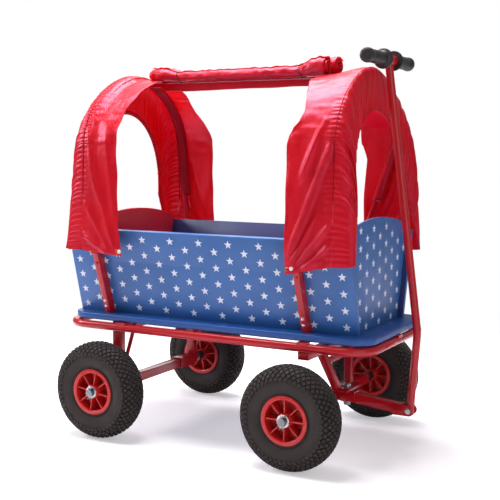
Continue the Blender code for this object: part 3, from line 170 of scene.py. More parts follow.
@dataclass(frozen=True)
class Finish:
    """A real material: its colour, its gloss and the fine relief of how it was made.

    The grain is a noise of the given size; cloud is a slow change of colour across the surface.
    """

    name: str
    colour: str
    shade: str
    roughness: float
    metallic: float = 0.0
    grain_mm: float = 1.0
    relief_mm: float = 0.02
    cloud_mm: float = 60.0
    rough_spread: float = 0.08
    specular: float = 0.5
    space: Space = Space.OBJECT

    def make(self) -> bpy.types.Material:
        """Builds the node material once and returns it."""
        made = bpy.data.materials.get(self.name)
        if made:
            return made
        made = bpy.data.materials.new(self.name)
        made.use_nodes = True
        tree = made.node_tree
        shader = tree.nodes["Principled BSDF"]
        shader.inputs["Metallic"].default_value = self.metallic
        if not self.metallic:
            shader.inputs["Specular IOR Level"].default_value = self.specular
        place = add_node(tree, "ShaderNodeTexCoord").outputs[self.space.value]
        tree.links.new(self.dress(tree, shader, place), shader.inputs["Normal"])
        return made

    def clouds(self, tree: bpy.types.NodeTree, place: bpy.types.NodeSocket) -> bpy.types.NodeSocket:
        """A slow noise across the surface, from 0 to 1."""
        scale = 1 / (self.cloud_mm * MM)
        return out_of(tree, "ShaderNodeTexNoise", {"Vector": place, "Scale": scale, "Detail": 3.0})

    def height(self, tree: bpy.types.NodeTree, place: bpy.types.NodeSocket) -> bpy.types.NodeSocket:
        """The relief that the bump follows, from 0 to 1."""
        scale = 1 / (self.grain_mm * MM)
        return out_of(tree, "ShaderNodeTexNoise", {"Vector": place, "Scale": scale, "Detail": 2.0})

    def dress(
        self, tree: bpy.types.NodeTree, shader: bpy.types.Node, place: bpy.types.NodeSocket
    ) -> bpy.types.NodeSocket:
        """Links colour and roughness to the shader.

        Args:
            tree: the material's nodes.
            shader: its Principled node.
            place: the coordinates that the patterns read.

        Returns:
            The normal that the relief gives.
        """
        cloud = self.clouds(tree, place)
        blend = add_node(
            tree, "ShaderNodeMix", {0: cloud, 6: linear(self.colour), 7: linear(self.shade)}, data_type="RGBA"
        )
        tree.links.new(blend.outputs[2], shader.inputs["Base Color"])
        low, high = self.roughness - self.rough_spread, self.roughness + self.rough_spread
        spread = {"Value": cloud, "From Min": 0.3, "From Max": 0.7, "To Min": low, "To Max": high}
        tree.links.new(out_of(tree, "ShaderNodeMapRange", spread), shader.inputs["Roughness"])
        relief = {"Height": self.height(tree, place), "Strength": 0.6, "Distance": self.relief_mm * MM}
        return out_of(tree, "ShaderNodeBump", relief)


@dataclass(frozen=True)
class Nylon(Finish):
    """Woven nylon: a plain weave with a sheen, and the small crinkles that thin cloth keeps."""

    thread_mm: float = 0.9
    crinkle_mm: float = 16.0
    crinkle_depth_mm: float = 1.0
    space: Space = Space.UV
    relief_mm: float = 0.05
    sheen: float = 0.10
    through: float = 0.30
    glow: str = "#FF1A1E"

    def dress(
        self, tree: bpy.types.NodeTree, shader: bpy.types.Node, place: bpy.types.NodeSocket
    ) -> bpy.types.NodeSocket:
        """Adds the sheen, the crinkles and the light that comes through the cloth.

        Args:
            tree: the material's nodes.
            shader: its Principled node.
            place: the coordinates that the patterns read.

        Returns:
            The normal that the weave and the crinkles give.
        """
        weave = super().dress(tree, shader, place)
        shader.inputs["Sheen Weight"].default_value = self.sheen
        shader.inputs["Sheen Roughness"].default_value = 0.50
        shader.inputs["Sheen Tint"].default_value = linear("#FF86BE")
        shader.inputs["Specular Tint"].default_value = linear("#FF9CD2")
        noise_of = {"Scale": 1 / (self.crinkle_mm * MM), "Detail": 3.0, "Roughness": 0.5, "Distortion": 0.5}
        crinkle = out_of(tree, "ShaderNodeTexNoise", {"Vector": place, **noise_of})
        depth = self.crinkle_depth_mm * MM
        relief = {"Height": crinkle, "Strength": 0.6, "Distance": depth, "Normal": weave}
        soft = out_of(tree, "ShaderNodeBump", relief)
        behind = out_of(tree, "ShaderNodeBsdfTranslucent", {"Color": linear(self.glow), "Normal": soft})
        both = out_of(tree, "ShaderNodeMixShader", {0: self.through, 1: shader.outputs[0], 2: behind})
        tree.links.new(both, tree.nodes["Material Output"].inputs["Surface"])
        return soft

    def height(self, tree: bpy.types.NodeTree, place: bpy.types.NodeSocket) -> bpy.types.NodeSocket:
        """Warp and weft as two crossed waves, drawn a few times coarser than the real thread."""
        scale = math.pi / 10 / (self.thread_mm * MM)
        warp = add_node(tree, "ShaderNodeTexWave", {"Vector": place, "Scale": scale}, bands_direction="X")
        weft = add_node(tree, "ShaderNodeTexWave", {"Vector": place, "Scale": scale}, bands_direction="Y")
        return maths(tree, "MULTIPLY", warp.outputs[1], weft.outputs[1])


# Polyester powder coat on steel tube: an even gloss with a faint orange-peel ripple
RED_COAT = Finish("red_powder_coat", "#BE1421", "#B2111D", 0.22, grain_mm=2.2, rough_spread=0.02)
# Satin lacquer on board: smooth and slightly uneven in gloss, so the sky reflects softly
BLUE_BOARD = Finish("blue_lacquered_board", "#386CB0", "#3264A6", 0.40, grain_mm=3.0, relief_mm=0.03)
# The same lacquer in a deeper blue on the deck
DECK_BOARD = Finish("deep_blue_lacquered_deck", "#1F549F", "#1A4A90", 0.38, grain_mm=3.0, relief_mm=0.03)
# The blue board in a dark navy on the faces that look into the box: painted shade
SHADED_BLUE_INSIDE = Finish("blue_board_painted_inner_shade", "#2B3770", "#232E63", 0.45, grain_mm=3.0, relief_mm=0.03)
# Red lacquer on the rear board
RED_BOARD = Finish("red_lacquered_board", "#E33243", "#D82A3A", 0.36, grain_mm=3.0, relief_mm=0.03)
# White screen-print ink on the lacquer: flat and almost without gloss
WHITE_INK = Finish("white_printing_ink", "#E6ECF8", "#DCE4F4", 0.55, grain_mm=1.0, relief_mm=0.01)
# Natural rubber with carbon black: brown-grey where it is handled and dusty, with no gloss
TYRE_RUBBER = Finish(
    "tyre_rubber", "#372F2D", "#2A2422", 0.70, grain_mm=1.6, relief_mm=0.08, cloud_mm=35, specular=0.35
)
# Injection-moulded polypropylene: a soft gloss with a fine flow texture
RED_PLASTIC = Finish("red_moulded_polypropylene", "#CE2423", "#B91C1D", 0.36, grain_mm=1.5, relief_mm=0.02)
# Black PVC grip: satin with a stippled skin
BLACK_GRIP = Finish("black_moulded_grip", "#2B282A", "#1F1D1F", 0.42, grain_mm=0.9, relief_mm=0.05)
# Bright zinc plate: pale and mottled with small crystals
ZINC = Finish("bright_zinc_plate", "#D3D3D2", "#B9BABB", 0.30, metallic=1.0, grain_mm=1.2, cloud_mm=5)
# Plain turned steel with a little oil: a grey, even gloss
DARK_STEEL = Finish(
    "plain_turned_steel", "#97989B", "#737478", 0.34, metallic=1.0, grain_mm=0.6, relief_mm=0.02, cloud_mm=8
)
# Brass-plated eyelet: a warm, bright metal edge
BRASS = Finish(
    "brass_eyelet", "#C9A25B", "#B18C47", 0.28, metallic=1.0, grain_mm=0.8, relief_mm=0.01, cloud_mm=4
)
# Thin woven nylon: a clear red with a pink sheen, which light comes through
RED_NYLON = Nylon("red_woven_nylon", "#D40A12", "#C6080F", 0.37, rough_spread=0.04, specular=1.0, cloud_mm=80)
# The same cloth doubled, in a sleeve or as piping, with a softer gloss; its deeper red is painted shade
SHADED_DOUBLE_NYLON = Nylon("doubled_red_nylon_painted_shade", "#B40C13", "#A0090F", 0.46, rough_spread=0.05, cloud_mm=60, sheen=0.25)
# The same cloth wound in many layers: a slightly darker red with a quicker change of tone
ROLLED_NYLON = Nylon(
    "rolled_red_nylon", "#D2141E", "#C20C14", 0.36, rough_spread=0.04, specular=1.0, cloud_mm=40
)
# Pale red cord: the rear cover's loose string, and on the ridge band's sides a pale colour that is a painted
# highlight
PALE_CORD_AND_HIGHLIGHT = Finish("pale_cord_painted_highlight", "#E58A93", "#D4707C", 0.5, grain_mm=0.8, relief_mm=0.05)
# Hard white plastic of the snaps' caps, with a soft highlight
PEARL = Finish("white_snap_cap", "#F2F0EE", "#E4E2E0", 0.25, grain_mm=1.0, relief_mm=0.005)
# Dark red cord of the rolls' ties: matt and slightly hairy
TIE_CORD = Finish("dark_red_cord", "#7A0F17", "#5E0B12", 0.6, grain_mm=0.8, relief_mm=0.08)
# Polyester thread: fine and a little glossy
THREAD = Finish("red_sewing_thread", "#C21A24", "#A5131C", 0.5, grain_mm=0.5, relief_mm=0.02)


# ---- Meshes


def new_piece(
    name: str, mesh: bpy.types.Mesh, finish: Finish, smooth: float | None = 40.0
) -> bpy.types.Object:
    """Puts a mesh in the scene as a piece with its finish.

    Args:
        name: the piece's name.
        mesh: its mesh, already in place.
        finish: the finish of all its faces.
        smooth: the crease angle in degrees above which an edge stays sharp, or None for flat faces.

    Returns:
        The new object.
    """
    mesh.name = name
    if smooth is not None:
        mesh.shade_smooth()
        mesh.set_sharp_from_angle(angle=math.radians(smooth))
    mesh.materials.clear()
    mesh.materials.append(finish.make())
    return link_new(name, mesh)


def settle(piece: bpy.types.Object) -> bpy.types.Object:
    """Turns a piece's modifiers into plain mesh."""
    bpy.context.view_layer.update()
    graph = bpy.context.evaluated_depsgraph_get()
    mesh = bpy.data.meshes.new_from_object(piece.evaluated_get(graph))
    piece.modifiers.clear()
    old = piece.data
    piece.data = mesh
    if isinstance(old, bpy.types.Mesh):
        bpy.data.meshes.remove(old)
    return piece


def from_shape(shape: bmesh.types.BMesh, name: str = "shape") -> bpy.types.Mesh:
    """Writes a bmesh to a new mesh and frees it."""
    mesh = bpy.data.meshes.new(name)
    shape.to_mesh(mesh)
    shape.free()
    return mesh


@contextmanager
def editing(mesh: bpy.types.Mesh) -> Iterator[bmesh.types.BMesh]:
    """Opens a mesh as a bmesh and writes it back at the end."""
    shape = bmesh.new()
    shape.from_mesh(mesh)
    yield shape
    shape.to_mesh(mesh)
    shape.free()


def lattice(
    rows: Sequence[Sequence[Vector]], around: bool = False, loop: bool = False, caps: bool = False
) -> bpy.types.Mesh:
    """A sheet of quads through rows of points, with a UV map in metres along and across.

    Args:
        rows: the points, all rows alike in length.
        around: joins each row's end to its start.
        loop: joins the last row to the first.
        caps: closes the first and the last row with one face each.

    Returns:
        The new mesh.
    """
    shape = bmesh.new()
    verts = [[shape.verts.new(p) for p in row] for row in rows]
    count = len(rows[0])
    layer = shape.loops.layers.uv.new("cloth")
    across = [0.0]
    for a, b in zip(rows[len(rows) // 2], rows[len(rows) // 2][1:]):
        across.append(across[-1] + (Vector(b) - Vector(a)).length)
    along = [0.0]
    for a, b in zip(rows, rows[1:]):
        along.append(along[-1] + (Vector(b[count // 2]) - Vector(a[count // 2])).length)
    across.append(across[-1] + 0.01)
    along.append(along[-1] + 0.01)
    row_pairs = [(i, i + 1) for i in range(len(rows) - 1)] + ([(len(rows) - 1, 0)] if loop else [])
    column_pairs = [(i, i + 1) for i in range(count - 1)] + ([(count - 1, 0)] if around else [])
    for i, (r0, r1) in enumerate(row_pairs):
        for j, (c0, c1) in enumerate(column_pairs):
            face = shape.faces.new((verts[r0][c0], verts[r0][c1], verts[r1][c1], verts[r1][c0]))
            corners = ((j, i), (j + 1, i), (j + 1, i + 1), (j, i + 1))
            for corner, (u, v) in zip(face.loops, corners):
                corner[layer].uv = (across[u], along[v])
    if caps:
        shape.faces.new(verts[0][::-1])
        shape.faces.new(verts[-1])
    return from_shape(shape)


def turn_outwards(mesh: bpy.types.Mesh) -> bpy.types.Mesh:
    """Merges doubled points and makes a closed mesh's faces look outwards."""
    with editing(mesh) as shape:
        bmesh.ops.remove_doubles(shape, verts=shape.verts, dist=1e-6)
        bmesh.ops.recalc_face_normals(shape, faces=shape.faces)
    return mesh


def lathe(profile: Sequence[tuple[float, float]], steps: int, closed: bool = True) -> bpy.types.Mesh:
    """A turned shape about Z.

    Args:
        profile: (radius, height) points; a point on the axis has radius 0.
        steps: how many faces go round.
        closed: joins the profile's end to its start, for a ring.

    Returns:
        The closed mesh, with its faces outwards.
    """
    rows = []
    for i in range(steps):
        angle = math.tau * i / steps
        rows.append([Vector((r * math.cos(angle), r * math.sin(angle), z)) for r, z in profile])
    return turn_outwards(lattice(rows, around=closed, loop=True))


def mirrored(half: list[tuple[float, float]]) -> list[tuple[float, float]]:
    """A profile's upper half followed by its mirror image."""
    return half + [(r, -h) for r, h in reversed(half)]


def along_axle(centre: Vector, side: int = 1) -> Matrix:
    """A matrix that lays a turned shape along Y at a place, its top towards the given side."""
    return Matrix.Translation(centre) @ Matrix.Rotation(math.radians(-90 * side), 4, "X")


def round_rectangle(x0: float, x1: float, y0: float, y1: float, corner: float) -> list[tuple[float, float]]:
    """The outline of a rectangle with round corners, from its +X side round to the left."""
    high, low = y1 - corner, y0 + corner
    centres = ((x1 - corner, high), (x0 + corner, high), (x0 + corner, low), (x1 - corner, low))
    outline = []
    for quarter, (x, y) in enumerate(centres):
        for k in range(CORNER_STEPS + 1):
            a = math.radians(90 * quarter + 90 * k / CORNER_STEPS)
            outline.append((x + corner * math.cos(a), y + corner * math.sin(a)))
    return outline


def smooth_path(points: Sequence[Vector], steps: int) -> list[Vector]:
    """A Catmull-Rom curve through points, with the given number of steps in each span."""
    found = []
    for i in range(len(points) - 1):
        p0, p1, p2, p3 = (points[min(max(i + k, 0), len(points) - 1)] for k in (-1, 0, 1, 2))
        for step in range(steps):
            t = step / steps
            square, cube = 2 * p0 - 5 * p1 + 4 * p2 - p3, 3 * p1 - p0 - 3 * p2 + p3
            found.append(0.5 * ((2 * p1) + (p2 - p0) * t + square * t * t + cube * t**3))
    return found + [points[-1].copy()]


def sweep(
    path: Sequence[Vector],
    radius: float | Callable[[float], float],
    sides: int = 16,
    closed: bool = False,
    section: Callable[[float, float], float] | None = None,
) -> bpy.types.Mesh:
    """A round tube along a path, with an even frame and closed ends.

    Args:
        path: the centre line.
        radius: the tube's radius, or a function of the share along the path.
        sides: how many faces go round.
        closed: joins the end to the start.
        section: an optional factor on the radius from (share along, angle round).

    Returns:
        The closed mesh.
    """
    count = len(path)
    rows = []
    side = Vector((0, 0, 1))
    for i, point in enumerate(path):
        ahead = path[(i + 1) % count] if closed or i < count - 1 else point
        behind = path[i - 1] if closed or i > 0 else point
        along = (ahead - behind).normalized()
        turned_off = abs(side.dot(along)) < 0.999
        side = (side - along * side.dot(along) if turned_off else along.orthogonal()).normalized()
        other = along.cross(side)
        share = i / max(count - 1, 1)
        size = radius(share) if callable(radius) else radius
        ring = []
        for k in range(sides):
            angle = math.tau * k / sides
            scale = section(share, angle) if section else 1.0
            ring.append(point + (side * math.cos(angle) + other * math.sin(angle)) * size * scale)
        rows.append(ring)
    mesh = lattice(rows, around=True, loop=closed, caps=not closed)
    with editing(mesh) as shape:
        bmesh.ops.recalc_face_normals(shape, faces=shape.faces)
    return mesh


def slab(outline: Sequence[tuple[float, float]], thickness: float, matrix: Matrix) -> bpy.types.Mesh:
    """A flat plate from an outline in its own XY plane, centred on that plane, put in place by a matrix."""
    shape = bmesh.new()
    low = [shape.verts.new((x, y, -thickness / 2)) for x, y in outline]
    high = [shape.verts.new((x, y, thickness / 2)) for x, y in outline]
    shape.faces.new(low[::-1])
    shape.faces.new(high)
    for i in range(len(outline)):
        j = (i + 1) % len(outline)
        shape.faces.new((low[i], low[j], high[j], high[i]))
    bmesh.ops.recalc_face_normals(shape, faces=shape.faces)
    bmesh.ops.transform(shape, matrix=matrix, verts=shape.verts)
    return from_shape(shape)


def round_edges(
    piece: bpy.types.Object, radius: float, segments: int = 3, angle: float = 35.0
) -> bpy.types.Object:
    """Rounds the piece's sharp edges and applies the result."""
    bevel = piece.modifiers.new("edges", "BEVEL")
    bevel.width = radius
    bevel.segments = segments
    bevel.limit_method = "ANGLE"
    bevel.angle_limit = math.radians(angle)
    bevel.use_clamp_overlap = True
    settle(piece)
    piece.data.shade_smooth()
    piece.data.set_sharp_from_angle(angle=math.radians(40))
    return piece


def joined(meshes: Iterable[bpy.types.Mesh]) -> bpy.types.Mesh:
    """Several meshes in one."""
    shape = bmesh.new()
    for mesh in meshes:
        shape.from_mesh(mesh)
    return from_shape(shape)


def moved(mesh: bpy.types.Mesh, matrix: Matrix) -> bpy.types.Mesh:
    """A copy of a mesh, put elsewhere."""
    copy = mesh.copy()
    copy.transform(matrix)
    return copy


def merged_copy(node: str) -> bpy.types.Mesh:
    """A copy of a CAD node's mesh with its loose triangles joined and its flat faces made whole."""
    shape = bmesh.new()
    shape.from_mesh(frame["nodes"][node].data)
    bmesh.ops.remove_doubles(shape, verts=shape.verts, dist=2e-5)
    bmesh.ops.dissolve_limit(shape, angle_limit=math.radians(2), verts=shape.verts, edges=shape.edges)
    return from_shape(shape)


def body_of_node(node: str) -> str:
    """The body that a CAD node rides on."""
    return frame["nodes"][node]["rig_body"]


def hand_over(piece: bpy.types.Object, body: str, slot: str, *nodes: str) -> bpy.types.Object:
    """Gives a finished piece its body and hides the CAD nodes that it stands for."""
    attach(piece, body)
    if nodes:
        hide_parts(*nodes)
    LOG.info("%s rides on %s (%d faces)", piece.name, body, len(piece.data.polygons))
    return piece


def add_part(
    name: str, mesh: bpy.types.Mesh, finish: Finish, smooth: float | None, body: str, slot: str, *nodes: str
) -> bpy.types.Object:
    """Makes a piece from a mesh, as new_piece does, and hands it over."""
    return hand_over(new_piece(name, mesh, finish, smooth), body, slot, *nodes)


def thicken(piece: bpy.types.Object, thickness: float, offset: float) -> None:
    """Gives a cloth its thickness; offset, from -1 to 1, says on which side of the sheet it lies."""
    skin = piece.modifiers.new("cloth", "SOLIDIFY")
    skin.thickness = thickness
    skin.offset = offset
    settle(piece)


def spread(steps: int) -> list[float]:
    """Even shares from -1 to 1."""
    return [-1 + 2 * i / steps for i in range(steps + 1)]


def dress_steel(nodes: Iterable[str], finish: Finish, slot: str, radius: float, segments: int = 2) -> None:
    """Stands a copy with rounded edges in for each CAD node of folded or square steel."""
    for node in nodes:
        piece = new_piece(f"{node}_steel", merged_copy(node), finish)
        round_edges(piece, radius, segments)
        hand_over(piece, body_of_node(node), slot, node)


# ---- Geometry Nodes


def new_tree(name: str, inputs: dict[str, tuple[str, object]]) -> tuple[bpy.types.NodeTree, bpy.types.Node]:
    """A geometry node tree with named inputs.

    Args:
        name: the tree's name.
        inputs: input name to its socket type and default.

    Returns:
        The tree and its input node.
    """
    tree = bpy.data.node_groups.new(name, "GeometryNodeTree")
    tree.interface.new_socket("Geometry", in_out="INPUT", socket_type="NodeSocketGeometry")
    for label, (kind, default) in inputs.items():
        socket = tree.interface.new_socket(label, in_out="INPUT", socket_type=kind)
        if default is not None:
            socket.default_value = default
    tree.interface.new_socket("Material", in_out="INPUT", socket_type="NodeSocketMaterial")
    tree.interface.new_socket("Geometry", in_out="OUTPUT", socket_type="NodeSocketGeometry")
    return tree, add_node(tree, "NodeGroupInput")


def end_tree(tree: bpy.types.NodeTree, source: bpy.types.Node, geometry: bpy.types.NodeSocket) -> None:
    """Ends a tree in Realize Instances and Set Material."""
    real = out_of(tree, "GeometryNodeRealizeInstances", {"Geometry": geometry})
    finish = source.outputs["Material"]
    dressed = out_of(tree, "GeometryNodeSetMaterial", {"Geometry": real, "Material": finish})
    add_node(tree, "NodeGroupOutput", {"Geometry": dressed})


def ring_tree() -> bpy.types.NodeTree:
    """Studs round a circle about Z: tread blocks or spokes, each a tapered prism that leans outwards."""
    tree, source = new_tree(
        "ring_of_studs",
        {
            "Count": ("NodeSocketInt", 8),
            "Radius": ("NodeSocketFloat", 0.1),
            "Offset": ("NodeSocketFloat", 0.0),
            "Tilt": ("NodeSocketFloat", 0.0),
            "Turn": ("NodeSocketFloat", 0.0),
            "Twist": ("NodeSocketFloat", 0.0),
            "Taper": ("NodeSocketFloat", 0.7),
            "Size": ("NodeSocketVector", (0.01, 0.01, 0.01)),
        },
    )
    put = source.outputs
    cone = {"Vertices": 4, "Radius Top": put["Taper"], "Radius Bottom": 1.0, "Depth": 1.0}
    stud = out_of(tree, "GeometryNodeMeshCone", cone, fill_type="NGON")
    twist = out_of(tree, "ShaderNodeCombineXYZ", {"Z": put["Twist"]})
    centred = {"Geometry": stud, "Translation": (0.0, 0.0, -0.5), "Rotation": twist}
    twisted = out_of(tree, "GeometryNodeTransform", centred)
    sized = out_of(tree, "GeometryNodeTransform", {"Geometry": twisted, "Scale": put["Size"]})
    circle = out_of(tree, "GeometryNodeMeshCircle", {"Vertices": put["Count"], "Radius": put["Radius"]})
    share = maths(tree, "DIVIDE", out_of(tree, "GeometryNodeInputIndex"), put["Count"])
    angle = maths(tree, "MULTIPLY", share, math.tau)
    lean = maths(tree, "SUBTRACT", math.pi / 2, put["Tilt"])
    turned = out_of(tree, "ShaderNodeCombineXYZ", {"Y": lean, "Z": angle})
    facing = out_of(tree, "FunctionNodeEulerToRotation", {0: turned})
    placed = {"Points": circle, "Instance": sized, "Rotation": facing}
    studs = out_of(tree, "GeometryNodeInstanceOnPoints", placed)
    shift = out_of(tree, "ShaderNodeCombineXYZ", {"Z": put["Offset"]})
    spin = out_of(tree, "ShaderNodeCombineXYZ", {"Z": put["Turn"]})
    ring = out_of(tree, "GeometryNodeTransform", {"Geometry": studs, "Translation": shift, "Rotation": spin})
    end_tree(tree, source, ring)
    return tree


def star_tree() -> bpy.types.NodeTree:
    """Five-pointed stars in columns on the XY plane, every second column half a step lower."""
    tree, source = new_tree(
        "printed_stars",
        {
            "Columns": ("NodeSocketInt", 4),
            "Rows": ("NodeSocketInt", 5),
            "Pitch X": ("NodeSocketFloat", 0.0435),
            "Pitch Y": ("NodeSocketFloat", 0.0437),
            "Star Radius": ("NodeSocketFloat", 0.01),
            "Waist": ("NodeSocketFloat", 0.42),
            "Ink": ("NodeSocketFloat", 0.0001),
            "First": ("NodeSocketInt", 0),
        },
    )
    put = source.outputs
    waist = maths(tree, "MULTIPLY", put["Star Radius"], put["Waist"])
    five = {"Points": 5, "Inner Radius": waist, "Outer Radius": put["Star Radius"]}
    star = out_of(tree, "GeometryNodeCurveStar", five)
    upright = out_of(tree, "GeometryNodeTransform", {"Geometry": star, "Rotation": (0.0, 0.0, math.pi / 2)})
    flat = out_of(tree, "GeometryNodeFillCurve", {"Curve": upright})
    film = {"Mesh": flat, "Offset Scale": put["Ink"], "Individual": False}
    inked = out_of(tree, "GeometryNodeExtrudeMesh", film)
    whole = add_node(tree, "GeometryNodeJoinGeometry")
    back = out_of(tree, "GeometryNodeFlipFaces", {0: flat})
    for face in (inked, back):
        tree.links.new(face, whole.inputs[0])
    closed = out_of(tree, "GeometryNodeMergeByDistance", {"Geometry": whole.outputs[0], "Distance": 1e-6})
    total = maths(tree, "MULTIPLY", put["Columns"], put["Rows"])
    points = out_of(tree, "GeometryNodePoints", {"Count": total})
    index = out_of(tree, "GeometryNodeInputIndex")
    column = maths(tree, "FLOOR", maths(tree, "DIVIDE", index, put["Rows"]))
    row = maths(tree, "MODULO", index, put["Rows"])
    odd = maths(tree, "MODULO", maths(tree, "ADD", column, put["First"]), 2.0)
    half = maths(tree, "MULTIPLY_ADD", odd, 0.5, row)
    x = maths(tree, "MULTIPLY", column, put["Pitch X"])
    y = maths(tree, "MULTIPLY", maths(tree, "MULTIPLY", half, put["Pitch Y"]), -1.0)
    spot = out_of(tree, "ShaderNodeCombineXYZ", {"X": x, "Y": y})
    spread = out_of(tree, "GeometryNodeSetPosition", {"Geometry": points, "Position": spot})
    stars = out_of(tree, "GeometryNodeInstanceOnPoints", {"Points": spread, "Instance": closed})
    end_tree(tree, source, stars)
    return tree


def stitch_tree() -> bpy.types.NodeTree:
    """Short stitches at an even spacing along a curve."""
    tree, source = new_tree(
        "stitches",
        {
            "Spacing": ("NodeSocketFloat", 0.005),
            "Length": ("NodeSocketFloat", 0.0034),
            "Thickness": ("NodeSocketFloat", 0.0004),
        },
    )
    put = source.outputs
    spacing = {"Curve": put["Geometry"], "Length": put["Spacing"]}
    even = out_of(tree, "GeometryNodeResampleCurve", spacing, mode="LENGTH")
    size = {"Vertices": 5, "Radius": put["Thickness"], "Depth": put["Length"]}
    stitch = out_of(tree, "GeometryNodeMeshCylinder", size)
    tangent = out_of(tree, "GeometryNodeInputTangent")
    along = out_of(tree, "FunctionNodeAlignRotationToVector", {"Vector": tangent}, axis="Z")
    placed = {"Points": even, "Instance": stitch, "Rotation": along}
    row = out_of(tree, "GeometryNodeInstanceOnPoints", placed)
    end_tree(tree, source, row)
    return tree


def grow(
    tree: bpy.types.NodeTree, finish: Finish, values: dict[str, object], host: bpy.types.ID | None = None
) -> bpy.types.Mesh:
    """Runs a tree with the given inputs and returns its result as plain mesh.

    Args:
        tree: the geometry node tree.
        finish: the finish that Set Material puts on.
        values: input name to value.
        host: the mesh or curve that the tree works on, or None where it needs no input.

    Returns:
        The new mesh, with the modifier gone.
    """
    carrier = link_new("carrier", host or bpy.data.meshes.new("carrier"))
    modifier = carrier.modifiers.new("nodes", "NODES")
    modifier.node_group = tree
    for item in tree.interface.items_tree:
        if item.in_out != "INPUT":
            continue
        if item.name == "Material":
            modifier[item.identifier] = finish.make()
        elif item.name in values:
            modifier[item.identifier] = values[item.name]
    bpy.context.view_layer.update()
    graph = bpy.context.evaluated_depsgraph_get()
    mesh = bpy.data.meshes.new_from_object(carrier.evaluated_get(graph))
    bpy.data.objects.remove(carrier, do_unlink=True)
    return mesh


RING_TREE = ring_tree()
STAR_TREE = star_tree()
STITCH_TREE = stitch_tree()


def stitch_along(lines: Iterable[Sequence[Vector]]) -> bpy.types.Mesh:
    """Stitches along several lines, in one mesh."""
    curve = bpy.data.curves.new("seam_lines", "CURVE")
    curve.dimensions = "3D"
    for line in lines:
        spline = curve.splines.new("POLY")
        spline.points.add(len(line) - 1)
        for target, point in zip(spline.points, line):
            target.co = (*point, 1)
    return grow(STITCH_TREE, THREAD, {}, curve)


# ---- Studio


